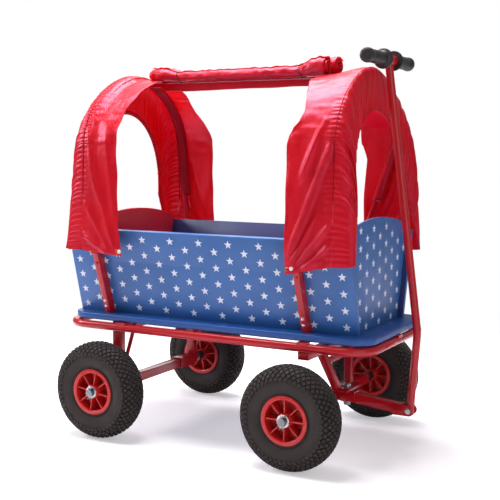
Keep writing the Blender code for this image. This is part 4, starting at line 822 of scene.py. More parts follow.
@dataclass
class Studio:
    """The photograph's camera, a white sweep and soft lights."""

    eye: tuple[float, float, float] = (1.2841, -2.3228, 0.7642)
    azimuth: float = 28.53
    dip: float = 5.80
    roll: float = 0.303
    focal_mm: float = 70.1
    sky: float = 0.27
    key_watts: float = 36.0
    overhead_watts: float = 102.0
    front_watts: float = 14.0
    back_watts: float = 26.0
    floor_glow: float = 0.40

    def build(self) -> None:
        """Makes the camera, the floor, the world and the lamps."""
        self.make_camera()
        self.make_floor()
        self.make_world()
        self.make_lamps()
        view = bpy.context.scene.view_settings
        view.view_transform = "Standard"
        LOG.info("studio ready")

    def make_camera(self) -> None:
        """Sets the camera where the photograph's was."""
        data = bpy.data.cameras.new("camera")
        data.lens = self.focal_mm
        data.sensor_width = 36.0
        data.sensor_fit = "HORIZONTAL"
        camera = link_new("camera", data)
        a, p, r = (math.radians(v) for v in (self.azimuth, self.dip, self.roll))
        ahead = Vector((-math.sin(a) * math.cos(p), math.cos(a) * math.cos(p), -math.sin(p)))
        right = Vector((math.cos(a), math.sin(a), 0))
        up = right.cross(ahead)
        right, up = right * math.cos(r) + up * math.sin(r), up * math.cos(r) - right * math.sin(r)
        place = Matrix((right, up, -ahead)).transposed().to_4x4()
        place.translation = Vector(self.eye) + SHIFT_VECTOR
        camera.matrix_world = place
        bpy.context.scene.camera = camera

    def make_floor(self) -> None:
        """A wide white floor that glows a little for the camera, so that only the shadows show."""
        shape = bmesh.new()
        bmesh.ops.create_grid(shape, x_segments=1, y_segments=1, size=12.0)
        mesh = from_shape(shape)
        floor = link_new("studio_floor", mesh)
        material = bpy.data.materials.new("white_studio_floor")
        material.use_nodes = True
        tree = material.node_tree
        tree.nodes.clear()
        white = (1, 1, 1, 1)
        paint = out_of(tree, "ShaderNodeBsdfDiffuse", {"Color": linear("#F1EBF2")})
        glow = out_of(tree, "ShaderNodeEmission", {"Color": white, "Strength": self.floor_glow})
        both = out_of(tree, "ShaderNodeAddShader", {0: paint, 1: glow})
        # Far from the wagon the floor turns to the backdrop's plain white.
        place = add_node(tree, "ShaderNodeTexCoord").outputs["Object"]
        reach = add_node(tree, "ShaderNodeVectorMath", {0: place}, operation="LENGTH").outputs["Value"]
        near_to_far = {"Value": reach, "From Min": 0.75, "From Max": 1.9}
        far = out_of(tree, "ShaderNodeMapRange", near_to_far, interpolation_type="SMOOTHSTEP")
        backdrop = out_of(tree, "ShaderNodeEmission", {"Color": white, "Strength": 1.0})
        fading = out_of(tree, "ShaderNodeMixShader", {0: far, 1: both, 2: backdrop})
        ray = add_node(tree, "ShaderNodeLightPath")
        seen = out_of(tree, "ShaderNodeMixShader", {0: ray.outputs["Is Camera Ray"], 1: paint, 2: fading})
        add_node(tree, "ShaderNodeOutputMaterial", {"Surface": seen})
        mesh.materials.append(material)

    def make_world(self) -> None:
        """A white sky for the camera and a plain soft fill for the object."""
        world = bpy.data.worlds.new("studio")
        world.use_nodes = True
        bpy.context.scene.world = world
        tree = world.node_tree
        tree.nodes.clear()
        ray = add_node(tree, "ShaderNodeLightPath")
        seen = maths(tree, "MAXIMUM", ray.outputs["Is Camera Ray"], ray.outputs["Is Transmission Ray"])
        strength = out_of(tree, "ShaderNodeMapRange", {"Value": seen, "To Min": self.sky, "To Max": 1.0})
        sky = out_of(tree, "ShaderNodeBackground", {"Color": (1, 1, 1, 1), "Strength": strength})
        add_node(tree, "ShaderNodeOutputWorld", {"Surface": sky})

    def make_lamps(self) -> None:
        """A key light at the upper left, an overhead softbox, a front fill and a back light."""
        spots = (
            ("key", self.key_watts, (0.8, 0.8), (-2.3, -0.95, 1.75), (0.0, 0.0, 0.6)),
            ("overhead", self.overhead_watts, (1.7, 1.5), (-0.35, 0.10, 2.4), (0.0, 0.0, 0.6)),
            ("front_fill", self.front_watts, (2.0, 2.0), (2.4, -1.6, 1.2), (0.0, 0.0, 0.5)),
            ("back", self.back_watts, (2.0, 1.6), (-1.8, 2.2, 1.6), (0.0, 0.0, 0.6)),
        )
        for name, watts, size, place, aim in spots:
            data = bpy.data.lights.new(name, "AREA")
            data.shape = "RECTANGLE"
            data.size, data.size_y = size
            data.energy = watts
            lamp = link_new(name, data)
            lamp.location = place
            lamp.rotation_euler = (Vector(aim) - Vector(place)).to_track_quat("-Z", "Y").to_euler()


# ---- Wheels


@dataclass
class Wheels:
    """Four air-tyred wheels, all alike: casing, tread, ribbed rim, washer and split pin."""

    radius: float = 0.130
    block_height: float = 0.0034
    crown: float = 0.0895
    half_width: float = 0.0392
    rim_radius: float = 0.061
    rim_half: float = 0.0358
    barrel: float = 0.0500
    hub: float = 0.0215
    axle: float = 0.010
    steps: int = 96
    blocks: int = 50
    spokes: int = 8
    rib_height: float = 0.0290
    # How far each pair of wheels is turned in the photograph, in degrees
    turn: dict[str, float] = field(default_factory=lambda: {"front": 22.0, "rear": 13.0})

    def section(self, angle: float) -> tuple[float, float, float]:
        """A point of the casing's outer section.

        Args:
            angle: 0 at the crown, a quarter turn at the widest place.

        Returns:
            Radius, offset along the axle, and the lean of the surface there.
        """
        deep = self.radius - self.block_height - 0.0008 - self.crown
        power = 2 / 2.25
        c, s = math.cos(angle), math.sin(angle)
        r = self.crown + deep * math.copysign(abs(c) ** power, c)
        y = self.half_width * math.copysign(abs(s) ** power, s)
        ahead = (abs(c) ** (2 - power)) / deep * (1 if c >= 0 else -1)
        aside = (abs(s) ** (2 - power)) / self.half_width * (1 if s >= 0 else -1)
        return r, y, math.atan2(aside, ahead)

    def casing(self) -> bpy.types.Mesh:
        """The tyre's casing with its sidewall ridge and beads."""
        outer = []
        for i in range(-44, 45):
            angle = math.radians(i * 3.0)
            r, y, lean = self.section(angle)
            if r < self.rim_radius + 0.0035:
                continue
            # A ridge on the sidewall and a finer one beside the rim
            ridge = 0.0018 * bump_at(r, 0.1005, 0.0012) + 0.0006 * bump_at(r, 0.0700, 0.0012)
            r += ridge * math.cos(lean)
            y += ridge * math.sin(lean)
            outer.append((r, y))
        bead = [(self.rim_radius + 0.0004, 0.0312), (0.0534, 0.0306), (0.0532, 0.0250), (0.0640, 0.0245)]
        inner = [(0.090, 0.0335), (0.110, 0.0290), (0.1205, 0.0150)]
        return lathe(outer + mirrored(bead + inner), self.steps)

    def tread(self) -> bpy.types.Mesh:
        """Staggered diamond blocks in rows from shoulder to shoulder."""
        meshes = []
        rows = (-74, -60, -46, -33, -21, -10, 0, 10, 21, 33, 46, 60, 74)
        for index, degrees in enumerate(rows):
            r, y, lean = self.section(math.radians(degrees))
            edge = abs(degrees) >= 60
            size = (0.0080, 0.0070, self.block_height * (1.0 if edge else 1.15))
            sink = size[2] * 0.45
            values = {
                "Count": self.blocks,
                "Radius": r + sink * math.cos(lean),
                "Offset": y + sink * math.sin(lean),
                "Tilt": lean,
                "Turn": math.pi / self.blocks * (index % 2),
                "Taper": 0.68,
                "Size": size,
            }
            meshes.append(grow(RING_TREE, TYRE_RUBBER, values))
        return joined(meshes)

    def rim(self) -> bpy.types.Mesh:
        """The rim's barrel with its rolled lip, its web and its hub."""
        half, lip, bar = self.rim_half, self.rim_radius, self.barrel
        top = [
            (bar, half - 0.0065),
            (bar + 0.0006, half - 0.0012),
            (bar + 0.0024, half),
            (lip - 0.0022, half),
            (lip - 0.0005, half - 0.0007),
            (lip, half - 0.0022),
            (lip - 0.0004, half - 0.0030),
            (0.0517, half - 0.0038),
        ]
        web, bore = 0.004, self.axle + 0.0006
        hub = [(bar, -web), (self.hub + 0.002, -web), (self.hub, -web - 0.002)]
        hub += [(0.0168, -half + 0.001), (0.0160, -half)]
        return lathe(mirrored(top) + mirrored(hub + [(bore, -half)]), self.steps)

    def spoke_ring(self) -> bpy.types.Mesh:
        """Thin ribs on both sides of the web, from the hub to the barrel."""
        meshes = []
        inner, outer = self.hub - 0.002, self.barrel + 0.0012
        high = self.rib_height
        for side in (1, -1):
            values = {
                "Count": self.spokes,
                "Radius": (inner + outer) / 2,
                "Offset": side * (0.003 + high / 2),
                "Tilt": 0.0,
                "Turn": math.pi / self.spokes,
                "Twist": math.pi / 4,
                "Taper": 1.0,
                "Size": (high / math.sqrt(2), 0.0030 / math.sqrt(2), (outer - inner)),
            }
            meshes.append(grow(RING_TREE, RED_PLASTIC, values))
        return joined(meshes)

    def split_pin(self, face: float) -> bpy.types.Mesh:
        """The split pin through the axle's end: a loop on one side and two bent legs on the other."""
        r = self.axle
        wire = 0.0011
        turns = [math.tau * k / 14 for k in range(15)]
        loop = [Vector((0.0035 * math.sin(t), r + 0.0040 - 0.0040 * math.cos(t), face)) for t in turns]
        legs = (
            ((0.0008, 0.001, 0.0), (0.0018, 0.005, 0.001), (0.0052, 0.0085, 0.003)),
            ((-0.0008, 0.001, 0.0), (-0.0022, 0.005, 0.001), (-0.0058, 0.0065, 0.0035)),
        )
        bent = [smooth_path([Vector((x, -r - down, face + out)) for x, down, out in leg], 4) for leg in legs]
        return joined([sweep(path, wire, 8) for path in (loop, *bent)])

    def build(self) -> None:
        """Makes one of each part and sets copies at the four wheels."""
        casing, tread, rim, ribs = self.casing(), self.tread(), self.rim(), self.spoke_ring()
        face = self.rim_half + GAP
        inner, top = self.axle + 0.0005, face + 0.0038
        outer = [(0.0158, face), (0.0165, face + 0.0008), (0.0165, face + 0.0030), (0.0158, top)]
        washer = lathe([(inner, face), *outer, (self.axle + 0.0012, top), (inner, face + 0.0030)], 48)
        pin = self.split_pin(face + 0.0085)
        for end, name, side in CORNERS:
            label = f"{end}_{name}"
            wheel = f"{label}_wheel"
            carrier = "steering" if end == "front" else "wagon"
            low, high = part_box(f"tyre_{label}")
            place = along_axle((low + high) / 2, side)
            spun = place @ Matrix.Rotation(math.radians(self.turn[end]), 4, "Z")
            tyre = moved(joined([casing, tread]), spun)
            add_part(f"tyre_{label}_rubber", tyre, TYRE_RUBBER, 35, wheel, "black_tyre", f"tyre_{label}")
            disc = moved(joined([rim, ribs]), spun)
            add_part(f"rim_{label}_plastic", disc, RED_PLASTIC, 30, wheel, "red_plastic", f"rim_{label}")
            ring = moved(washer, place)
            add_part(f"washer_{label}_zinc", ring, ZINC, 30, carrier, "zinc_steel", f"hub_washer_{label}")
            add_part(f"split_pin_{label}", moved(pin, place), ZINC, 60, carrier, "zinc_steel")


# ---- Frame


@dataclass
class Chassis:
    """The bent ring under the board, the axles and the welded square tube."""

    tube: float = 0.011
    corner: float = 0.070
    lug: tuple[float, float] = (0.028, 0.018)
    axle_steps: int = 48

    def ring_line(self) -> list[Vector]:
        """The ring's centre line with smooth corners."""
        low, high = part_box("frame_ring")
        half = high.y - self.tube
        outline = round_rectangle(low.x + self.tube, high.x - self.tube, -half, half, self.corner)
        return [Vector((x, y, low.z + self.tube)) for x, y in outline]

    def build(self) -> None:
        """Dresses the ring, its lugs, the axles and the square tubes."""
        low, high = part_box("frame_ring")
        meshes = [sweep(self.ring_line(), self.tube, 28, closed=True)]
        board_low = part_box("deck_board")[0].z
        top, z = board_low - GAP, low.z + self.tube
        long, short = self.lug
        spots = [(x + SHIFT, side * (high.y - self.tube), long, short) for side in (1, -1) for x in LUG_X]
        spots += [(x, 0, short, long) for x in (high.x - self.tube, low.x + self.tube)]
        for x, y, lx, ly in spots:
            outline = [(-lx / 2, -ly / 2), (lx / 2, -ly / 2), (lx / 2, ly / 2), (-lx / 2, ly / 2)]
            meshes.append(slab(outline, top - z, Matrix.Translation((x, y, (top + z) / 2))))
        add_part("frame_ring_tube", joined(meshes), RED_COAT, 40, "wagon", "red_enamel", "frame_ring")
        square = ["front_cross_member", "rear_cross_member", "rear_bracket_left", "rear_bracket_right"]
        square += ["rear_axle_beam", "front_axle_beam", "axle_saddle_left", "axle_saddle_right"]
        square += ["front_strut_left", "front_strut_right", "strut_tie_bar"]
        dress_steel(square, RED_COAT, "red_enamel", 0.0022, 3)
        dress_steel(["head_plate", "rear_brace_left", "rear_brace_right"], RED_COAT, "red_enamel", 0.0008)
        dress_steel(["drawbar"], RED_COAT, "red_enamel", 0.0012)
        for node in ("front_axle", "rear_axle"):
            self.make_axle(node)

    def make_axle(self, node: str) -> None:
        """A round axle with chamfered ends and its collars."""
        low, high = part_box(node)
        end, collar = high.y, (high.z - low.z) / 2
        wheel_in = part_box("rim_front_left")[0].y - GAP
        beam = BEAM_HALF[node]
        half = [(0, end), (0.0092, end), (0.010, end - 0.0008), (0.010, wheel_in)]
        half += [(collar, wheel_in), (collar, beam), (0.010, beam)]
        axle = moved(lathe(mirrored(half), self.axle_steps, closed=False), along_axle((low + high) / 2))
        add_part(f"{node}_steel", axle, DARK_STEEL, 30, body_of_node(node), "dark_steel", node)


# ---- Box


@dataclass
class BoxBody:
    """Deck board, panels with printed stars and painted shade on their inner faces, uprights and their screws.
    """

    lean: float = math.radians(14.6)
    pitch_x: float = 0.0435
    pitch_y: float = 0.0437
    star: float = 0.0115
    ink: float = 0.00012
    edge: float = 0.0035
    board: float = 0.012
    first_star: float = -0.4036
    star_drop: float = 0.0226
    foot_half: float = 0.1478
    deck_corner: float = 0.060
    # How far the printed ink stands off the lacquer
    ink_gap: float = 0.00005

    def stars(self, name: str, place: Matrix, columns: int, rows: int, first: int) -> bpy.types.Mesh:
        """A printed field of stars, put in place by a matrix.

        Args:
            name: what the field's mesh is called.
            place: where the first star of the first column goes.
            columns: how many columns run along X.
            rows: how many stars stand in each column.
            first: 1 where the first column is the lower one.

        Returns:
            The stars' mesh.
        """
        values = {
            "Columns": columns, "Rows": rows, "Pitch X": self.pitch_x, "Pitch Y": self.pitch_y,
            "Star Radius": self.star, "Ink": self.ink, "First": first,
        }
        mesh = moved(grow(STAR_TREE, WHITE_INK, values), place)
        mesh.name = name
        return mesh

    def slope(self, side: int) -> tuple[Vector, Vector]:
        """The directions up a leaning side and straight out of it."""
        s, c = math.sin(self.lean), math.cos(self.lean)
        return Vector((0, side * s, c)), Vector((0, side * c, -s))

    def deck(self) -> None:
        """The board with its round corners and softened edges."""
        low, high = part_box("deck_board")
        outline = round_rectangle(low.x, high.x, low.y, high.y, self.deck_corner)
        mesh = slab(outline, high.z - low.z, Matrix.Translation((0, 0, (low.z + high.z) / 2)))
        piece = new_piece("deck_board_lacquered", mesh, DECK_BOARD)
        round_edges(piece, 0.0045, 4)
        hand_over(piece, "wagon", "blue_star_board", "deck_board")

    def shade_inner_faces(self, piece: bpy.types.Object, inwards: Vector) -> None:
        """Gives the faces that look into the box a dark navy: painted shade."""
        piece.data.materials.append(SHADED_BLUE_INSIDE.make())
        for face in piece.data.polygons:
            if face.normal.dot(inwards) > 0.9:
                face.material_index = 1

    def sides(self) -> None:
        """The two leaning side panels and their stars."""
        for name, side in SIDES:
            node = f"side_panel_{name}"
            piece = new_piece(f"{node}_lacquered", merged_copy(node), BLUE_BOARD)
            round_edges(piece, self.edge, 3, 50)
            inwards = Vector((0, -side * math.cos(self.lean), math.sin(self.lean)))
            # The inner faces get a dark navy as painted shade.
            self.shade_inner_faces(piece, inwards)
            hand_over(piece, "wagon", "blue_star_board", node)
            low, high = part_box(node)
            # Columns run along X and rows down the slope, from the panel's outer top edge.
            right = Vector((-side, 0, 0))
            up = self.slope(side)[0]
            out = right.cross(up)
            start_x = (self.first_star if side < 0 else self.first_star + 18 * self.pitch_x) + SHIFT
            top_y = high.y if side > 0 else low.y
            top = Vector((start_x, top_y, high.z - self.board * math.sin(self.lean)))
            place = Matrix((right, up, out)).transposed().to_4x4()
            place.translation = top - up * self.star_drop + out * self.ink_gap
            mesh = self.stars(f"stars_{name}", place, 19, 5, 1)
            add_part(f"stars_{name}", mesh, WHITE_INK, None, "wagon", "blue_star_board")

    def ends(self) -> None:
        """The arched front and rear panels, and the stars on the front one."""
        ends = (("front_panel", BLUE_BOARD, "blue_star_board"), ("rear_panel", RED_BOARD, "red_board"))
        for node, finish, slot in ends:
            piece = new_piece(f"{node}_lacquered", self.arched_panel(*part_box(node)), finish)
            round_edges(piece, self.edge, 3, 50)
            if finish is BLUE_BOARD:
                # The front panel's inner face gets a dark navy as painted shade.
                self.shade_inner_faces(piece, Vector((-1, 0, 0)))
            hand_over(piece, "wagon", slot, node)
        low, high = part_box("front_panel")
        first_y, first_z = -0.1673 + self.pitch_x, high.z - 0.0264
        face = high.x + self.ink_gap
        place = Matrix(((0, 0, 1, face), (1, 0, 0, first_y), (0, 1, 0, first_z), (0, 0, 0, 1)))
        mesh = self.stars("stars_front", place, 8, 6, 0)
        self.trim_to_panel(mesh, low, high)
        add_part("stars_front", mesh, WHITE_INK, None, "wagon", "blue_star_board")

    def half_width_at(self, z: float, low: Vector) -> float:
        """Half the end panels' width at a height, between their leaning sides."""
        return self.foot_half + math.tan(self.lean) * (z - low.z)

    def trim_to_panel(self, mesh: bpy.types.Mesh, low: Vector, high: Vector) -> None:
        """Drops the stars whose middle or tips would pass the panel's outline."""
        reach, border, foot = END_RADIUS - 0.004, 0.003, low.z + 0.002
        with editing(mesh) as shape:
            islands: list[set] = []
            seen: set = set()
            for vert in shape.verts:
                if vert in seen:
                    continue
                stack, group = [vert], set()
                while stack:
                    v = stack.pop()
                    if v in group:
                        continue
                    group.add(v)
                    stack.extend(e.other_vert(v) for e in v.link_edges)
                seen |= group
                islands.append(group)
            for group in islands:
                for v in group:
                    arch = high.z - END_RADIUS + math.sqrt(max(reach**2 - v.co.y**2, 0))
                    aside = abs(v.co.y) > self.half_width_at(v.co.z, low) - border
                    if aside or v.co.z > arch or v.co.z < foot:
                        bmesh.ops.delete(shape, geom=list(group), context="VERTS")
                        break

    def arched_panel(self, low: Vector, high: Vector) -> bpy.types.Mesh:
        """An end panel's plate with a smooth arch and round shoulders."""
        radius, corner = END_RADIUS, END_CORNER
        foot_half = self.half_width_at(low.z, low)
        lean = math.tan(self.lean)
        reach = radius - corner
        middle = high.z - radius
        z = high.z - corner
        y = 0.0
        for _ in range(20):
            y = foot_half - corner / math.cos(self.lean) + lean * (z - low.z)
            z = middle + math.sqrt(reach**2 - y**2)
        top = math.atan2(z - middle, y)
        shoulder = []
        for k in range(13):
            a = -self.lean + (top + self.lean) * k / 12
            shoulder.append((y + corner * math.cos(a), z + corner * math.sin(a)))
        crown = []
        for k in range(1, 32):
            a = top + (math.pi - 2 * top) * k / 32
            crown.append((radius * math.cos(a), middle + radius * math.sin(a)))
        opposite = [(-a, b) for a, b in reversed(shoulder)]
        outline = [(-foot_half, low.z), (foot_half, low.z)] + shoulder + crown + opposite
        place = Matrix(((0, 0, 1, (low.x + high.x) / 2), (1, 0, 0, 0), (0, 1, 0, 0), (0, 0, 0, 1)))
        return slab(outline, high.x - low.x, place)

    def build(self) -> None:
        """Makes the board, the panels and the uprights."""
        self.deck()
        self.sides()
        self.ends()
        spots = [f"{end}_{name}" for end, name, _ in CORNERS]
        dress_steel([f"upright_{spot}" for spot in spots], RED_COAT, "red_enamel", 0.0018, 3)
        dress_steel([f"upright_bolt_{spot}" for spot in spots], RED_COAT, "zinc_steel", 0.0004, 1)
        self.foot_screws()

    def foot_screws(self) -> None:
        """Two round-headed screws at the foot of each upright."""
        profile = [(0, 0.0030), (0.0022, 0.0029), (0.0042, 0.0020), (0.0050, 0.0006), (0.0050, 0.0), (0, 0.0)]
        head = lathe(profile, 20, closed=False)
        bar = [(-0.0030, -0.0005), (0.0030, -0.0005), (0.0030, 0.0005), (-0.0030, 0.0005)]
        groove = slab(bar, 0.0006, Matrix.Translation((0, 0, 0.00285)))
        # The upright's depth at the foot, and how far it tilts back as it rises
        depth, tilt = 0.0254, 0.048
        meshes = []
        for end, name, side in CORNERS:
            low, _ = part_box(f"upright_{end}_{name}")
            up, out = self.slope(side)
            foot = Vector((UPRIGHT_X[end] + SHIFT, side * UPRIGHT_FOOT_Y, low.z))
            for rise in (0.026, 0.042):
                spot = foot + up * rise + out * depth + Vector((-rise * tilt, 0, 0))
                place = Matrix.Translation(spot) @ out.to_track_quat("Z", "X").to_matrix().to_4x4()
                meshes += [moved(head, place), moved(groove, place)]
        add_part("upright_foot_screws", joined(meshes), ZINC, 35, "wagon", "zinc_steel")


# ---- Steering and handle


@dataclass
class Steering:
    """The kingpin with its washers and nut, and the handle's cross bolt."""

    def build(self) -> None:
        """Turns the kingpin, its washers and its nut finely, and adds the handle's cross bolt."""
        low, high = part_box("kingpin_bolt")
        axis = (low + high) / 2
        spot = Matrix.Translation((axis.x, axis.y, 0))
        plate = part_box("head_plate")[1].z + GAP
        bolt = [(0, high.z), (0.0082, high.z), (0.010, high.z - 0.0028), (0.010, plate), (0.006, plate)]
        bolt += [(0.006, low.z + 0.0006), (0.0054, low.z), (0, low.z)]
        self.turned("kingpin_bolt", lathe(bolt, 48, closed=False), spot, ZINC, "zinc_steel")
        low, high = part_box("thrust_washer")
        ring = [(0.0064, low.z), (0.0194, low.z), (0.020, low.z + 0.0006), (0.020, high.z - 0.0006)]
        ring += [(0.0194, high.z), (0.0064, high.z)]
        self.turned("thrust_washer", lathe(ring, 48), spot, DARK_STEEL, "dark_steel")
        low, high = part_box("kingpin_nut")
        middle, bore = high.z - 0.003, 0.0063
        washer = lathe([(bore, high.z), (0.0175, high.z), (0.0175, middle), (bore, middle)], 48)
        flat = lathe([(bore, middle), (0.0103, middle), (0.0103, low.z), (bore, low.z)], 6)
        self.turned("kingpin_nut", joined([washer, flat]), spot, DARK_STEEL, "dark_steel")
        self.pivot(*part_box("pivot_bolt"))

    def turned(self, node: str, mesh: bpy.types.Mesh, spot: Matrix, finish: Finish, slot: str) -> None:
        """Stands a finely turned piece in for a turned CAD node."""
        add_part(f"{node}_fine", moved(mesh, spot), finish, 30, "steering", slot, node)

    def pivot(self, low: Vector, high: Vector) -> None:
        """The handle's cross bolt with a six-sided head and nut."""
        end = (high.y - low.y) / 2
        inner = end - 0.006
        parts = [lathe([(0, inner), (0.004, inner), (0.004, -inner), (0, -inner)], 24, closed=False)]
        for s in (1, -1):
            head = [(0, s * end), (0.0066, s * end), (0.0074, s * (end - 0.0008))]
            head += [(0.0074, s * inner), (0, s * inner)]
            parts.append(lathe(head, 6, closed=False))
        bolt = moved(joined(parts), along_axle((low + high) / 2, -1))
        add_part("pivot_bolt_fine", bolt, ZINC, 25, "steering", "zinc_steel", "pivot_bolt")


@dataclass
class PullHandle:
    """The bent tube, its cross bar and the two moulded grips."""

    tube: float = 0.010
    pivot: tuple[float, float] = (0.487, 0.1115)
    lower: float = 0.200
    lean_low: float = math.radians(4.2)
    lean_high: float = math.radians(-7.6)
    bend: float = 0.160
    grip_z: float = 0.992

    def line(self) -> list[Vector]:
        """The tube's centre line from its foot to the cross bar."""
        low = Vector((math.sin(self.lean_low), 0, math.cos(self.lean_low)))
        high = Vector((math.sin(self.lean_high), 0, math.cos(self.lean_high)))
        corner = low * self.lower
        turn = self.lean_low - self.lean_high
        back = self.bend * math.tan(turn / 2)
        start = corner - low * back
        centre = start + Vector((-low.z, 0, low.x)) * self.bend
        top = (self.grip_z - self.pivot[1] - corner.z) / high.z
        points = [low * -0.0105, low * 0.05, start]
        for k in range(1, 12):
            lean = self.lean_low - turn * k / 12
            points.append(centre + Vector((math.cos(lean), 0, -math.sin(lean))) * self.bend)
        points += [corner + high * back, corner + high * (top * 0.5), corner + high * (top - 0.0145)]
        base = Vector((self.pivot[0] + SHIFT, 0, self.pivot[1]))
        return [base + p for p in points]

    def grip(self) -> bpy.types.Mesh:
        """One moulded grip about Z: flange, barrel, neck and knob."""
        start, bore, deep = 0.0328, 0.0086, 0.1465
        profile = [
            (0, 0.1520), (0.0040, 0.1514), (0.0075, 0.1520), (0.0125, 0.1516), (0.0164, 0.1492),
            (0.0179, 0.1450), (0.0180, 0.1380), (0.0174, 0.1310), (0.0152, 0.1250), (0.0143, 0.1212),
            (0.0150, 0.1160), (0.0164, 0.1080), (0.0166, 0.0900), (0.0164, 0.0650), (0.0157, 0.0480),
            (0.0160, 0.0440), (0.0200, 0.0405), (0.0243, 0.0392), (0.0250, 0.0380), (0.0250, 0.0345),
            (0.0243, start), (bore, start), (bore, deep), (0, deep),
        ]
        return lathe(profile, 48, closed=False)

    def build(self) -> None:
        """Makes the tube, the bar and the grips."""
        tube = sweep(self.line(), self.tube, 28)
        add_part("handle_tube_steel", tube, RED_COAT, 40, "handle", "red_enamel", "handle_tube")
        low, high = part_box("t_bar")
        centre, end, core, middle = (low + high) / 2, high.y, 0.0080, 0.0325
        half = [(0, end), (0.0078, end), (core, end - 0.0005)]
        half += [(core, middle), (0.0128, middle), (0.0135, 0.0316)]
        bar = moved(lathe(mirrored(half), 40, closed=False), along_axle(centre))
        add_part("cross_bar_steel", bar, RED_COAT, 35, "handle", "red_enamel", "t_bar")
        for name, side in SIDES:
            grip = moved(self.grip(), along_axle(centre, side))
            add_part(f"grip_{name}_moulded", grip, BLACK_GRIP, 35, "handle", "black_plastic", f"grip_{name}")


# ---- Canopy


@dataclass
class Arch:
    """The canopy's section: a round top over two nearly straight legs."""

    half_width: float = 0.233
    spring: float = 0.780
    power: float = 1.8
    foot_half: float = 0.2478
    leg_share: float = 0.40

    def at(self, share: float, crest: float, foot: float) -> tuple[float, float]:
        """A point on the arch.

        Args:
            share: from -1 at the right foot to 1 at the left one.
            crest: the height of the top.
            foot: the height at which the legs end.

        Returns:
            Y and Z.
        """
        size = abs(share)
        sign = 1 if share >= 0 else -1
        if size <= 1 - self.leg_share:
            angle = math.pi / 2 * size / (1 - self.leg_share)
            y = self.half_width * math.sin(angle) ** (2 / self.power)
            z = self.spring + (crest - self.spring) * max(math.cos(angle), 0) ** (2 / self.power)
        else:
            down = (size - 1 + self.leg_share) / self.leg_share
            y = self.half_width + (self.foot_half - self.half_width) * down
            z = self.spring + (foot - self.spring) * down
        return sign * y, z


def eased(value: float, low: float, high: float) -> float:
    """A smooth step from 0 at low to 1 at high."""
    t = min(max((value - low) / (high - low), 0.0), 1.0)
    return t * t * (3 - 2 * t)


def bump_at(value: float, centre: float, width: float) -> float:
    """A soft bump of height 1."""
    return math.exp(-(((value - centre) / width) ** 2))


def waver(x: float, y: float, z: float, size: float) -> float:
    """A smooth noise between about -1 and 1 with features of the given size."""
    return noise.noise(Vector((x / size, y / size, z / size)))


@dataclass
class Fold:
    """A tension fold in the cloth: a ridge between two places on the leg, given as (X, Z)."""

    start: tuple[float, float]
    end: tuple[float, float]
    height: float
    width: float

    def lift(self, x: float, z: float) -> float:
        """How far the ridge raises the cloth at a place."""
        a, b, p = Vector(self.start), Vector(self.end), Vector((x, z))
        along = b - a
        t = (p - a).dot(along) / along.length_squared
        off = (p - (a + along * min(max(t, 0), 1))).length
        ends = eased(t, -0.12, 0.22) * (1 - eased(t, 0.70, 1.15))
        # A crisp crest on a broad foot
        crest = 0.45 * math.exp(-((off / self.width) ** 2)) + 0.55 * math.exp(-off / (self.width * 0.7))
        return self.height * ends * crest


@dataclass
class RollLine:
    """Where a rolled side cloth lies: its axis beside the ridge, which climbs as the roll grows forwards."""

    side: int
    rear: float
    front: float
    rear_radius: float = 0.0215
    growth: float = 0.00604
    rear_sink: float = 0.0060
    level: float = 0.9575
    slim: float = 0.30
    sag: float = 0.0125

    def drawn(self, x: float) -> float:
        """How far the ties draw the roll in: 1 between them, 0 at the loose ends."""
        return eased(x, -0.240, -0.190) * (1 - eased(x, 0.165, 0.235))

    def radius(self, x: float) -> float:
        """The full radius at X."""
        return (self.rear_radius + self.growth * (x + 0.278)) * (1 - self.slim * self.drawn(x))

    def axis(self, x: float) -> Vector:
        """The axis at X; the drawn-in middle lies lower, and the rear end sinks into slack cloth."""
        radius = self.rear_radius + self.growth * (x + 0.278)
        sink = self.rear_sink * (1 - eased(x, -0.29, 0.24)) * (1 - self.drawn(x)) + self.sag * self.drawn(x)
        aside = radius * (1 - 0.18 * self.drawn(x)) + GAP
        return Vector((x, self.side * aside, self.level + radius - sink))

    def underside(self, x: float, y: float) -> float:
        """The height of the roll's underside over a place, or a large value away from it."""
        axis, radius = self.axis(x), self.radius(x) + 0.0012
        if not self.rear - 0.004 < x < self.front + 0.004 or abs(y - axis.y) >= radius:
            return math.inf
        return axis.z - math.sqrt(radius**2 - (y - axis.y) ** 2)


ROLL_LINES = (RollLine(1, -0.258, 0.268), RollLine(-1, -0.278, 0.258))


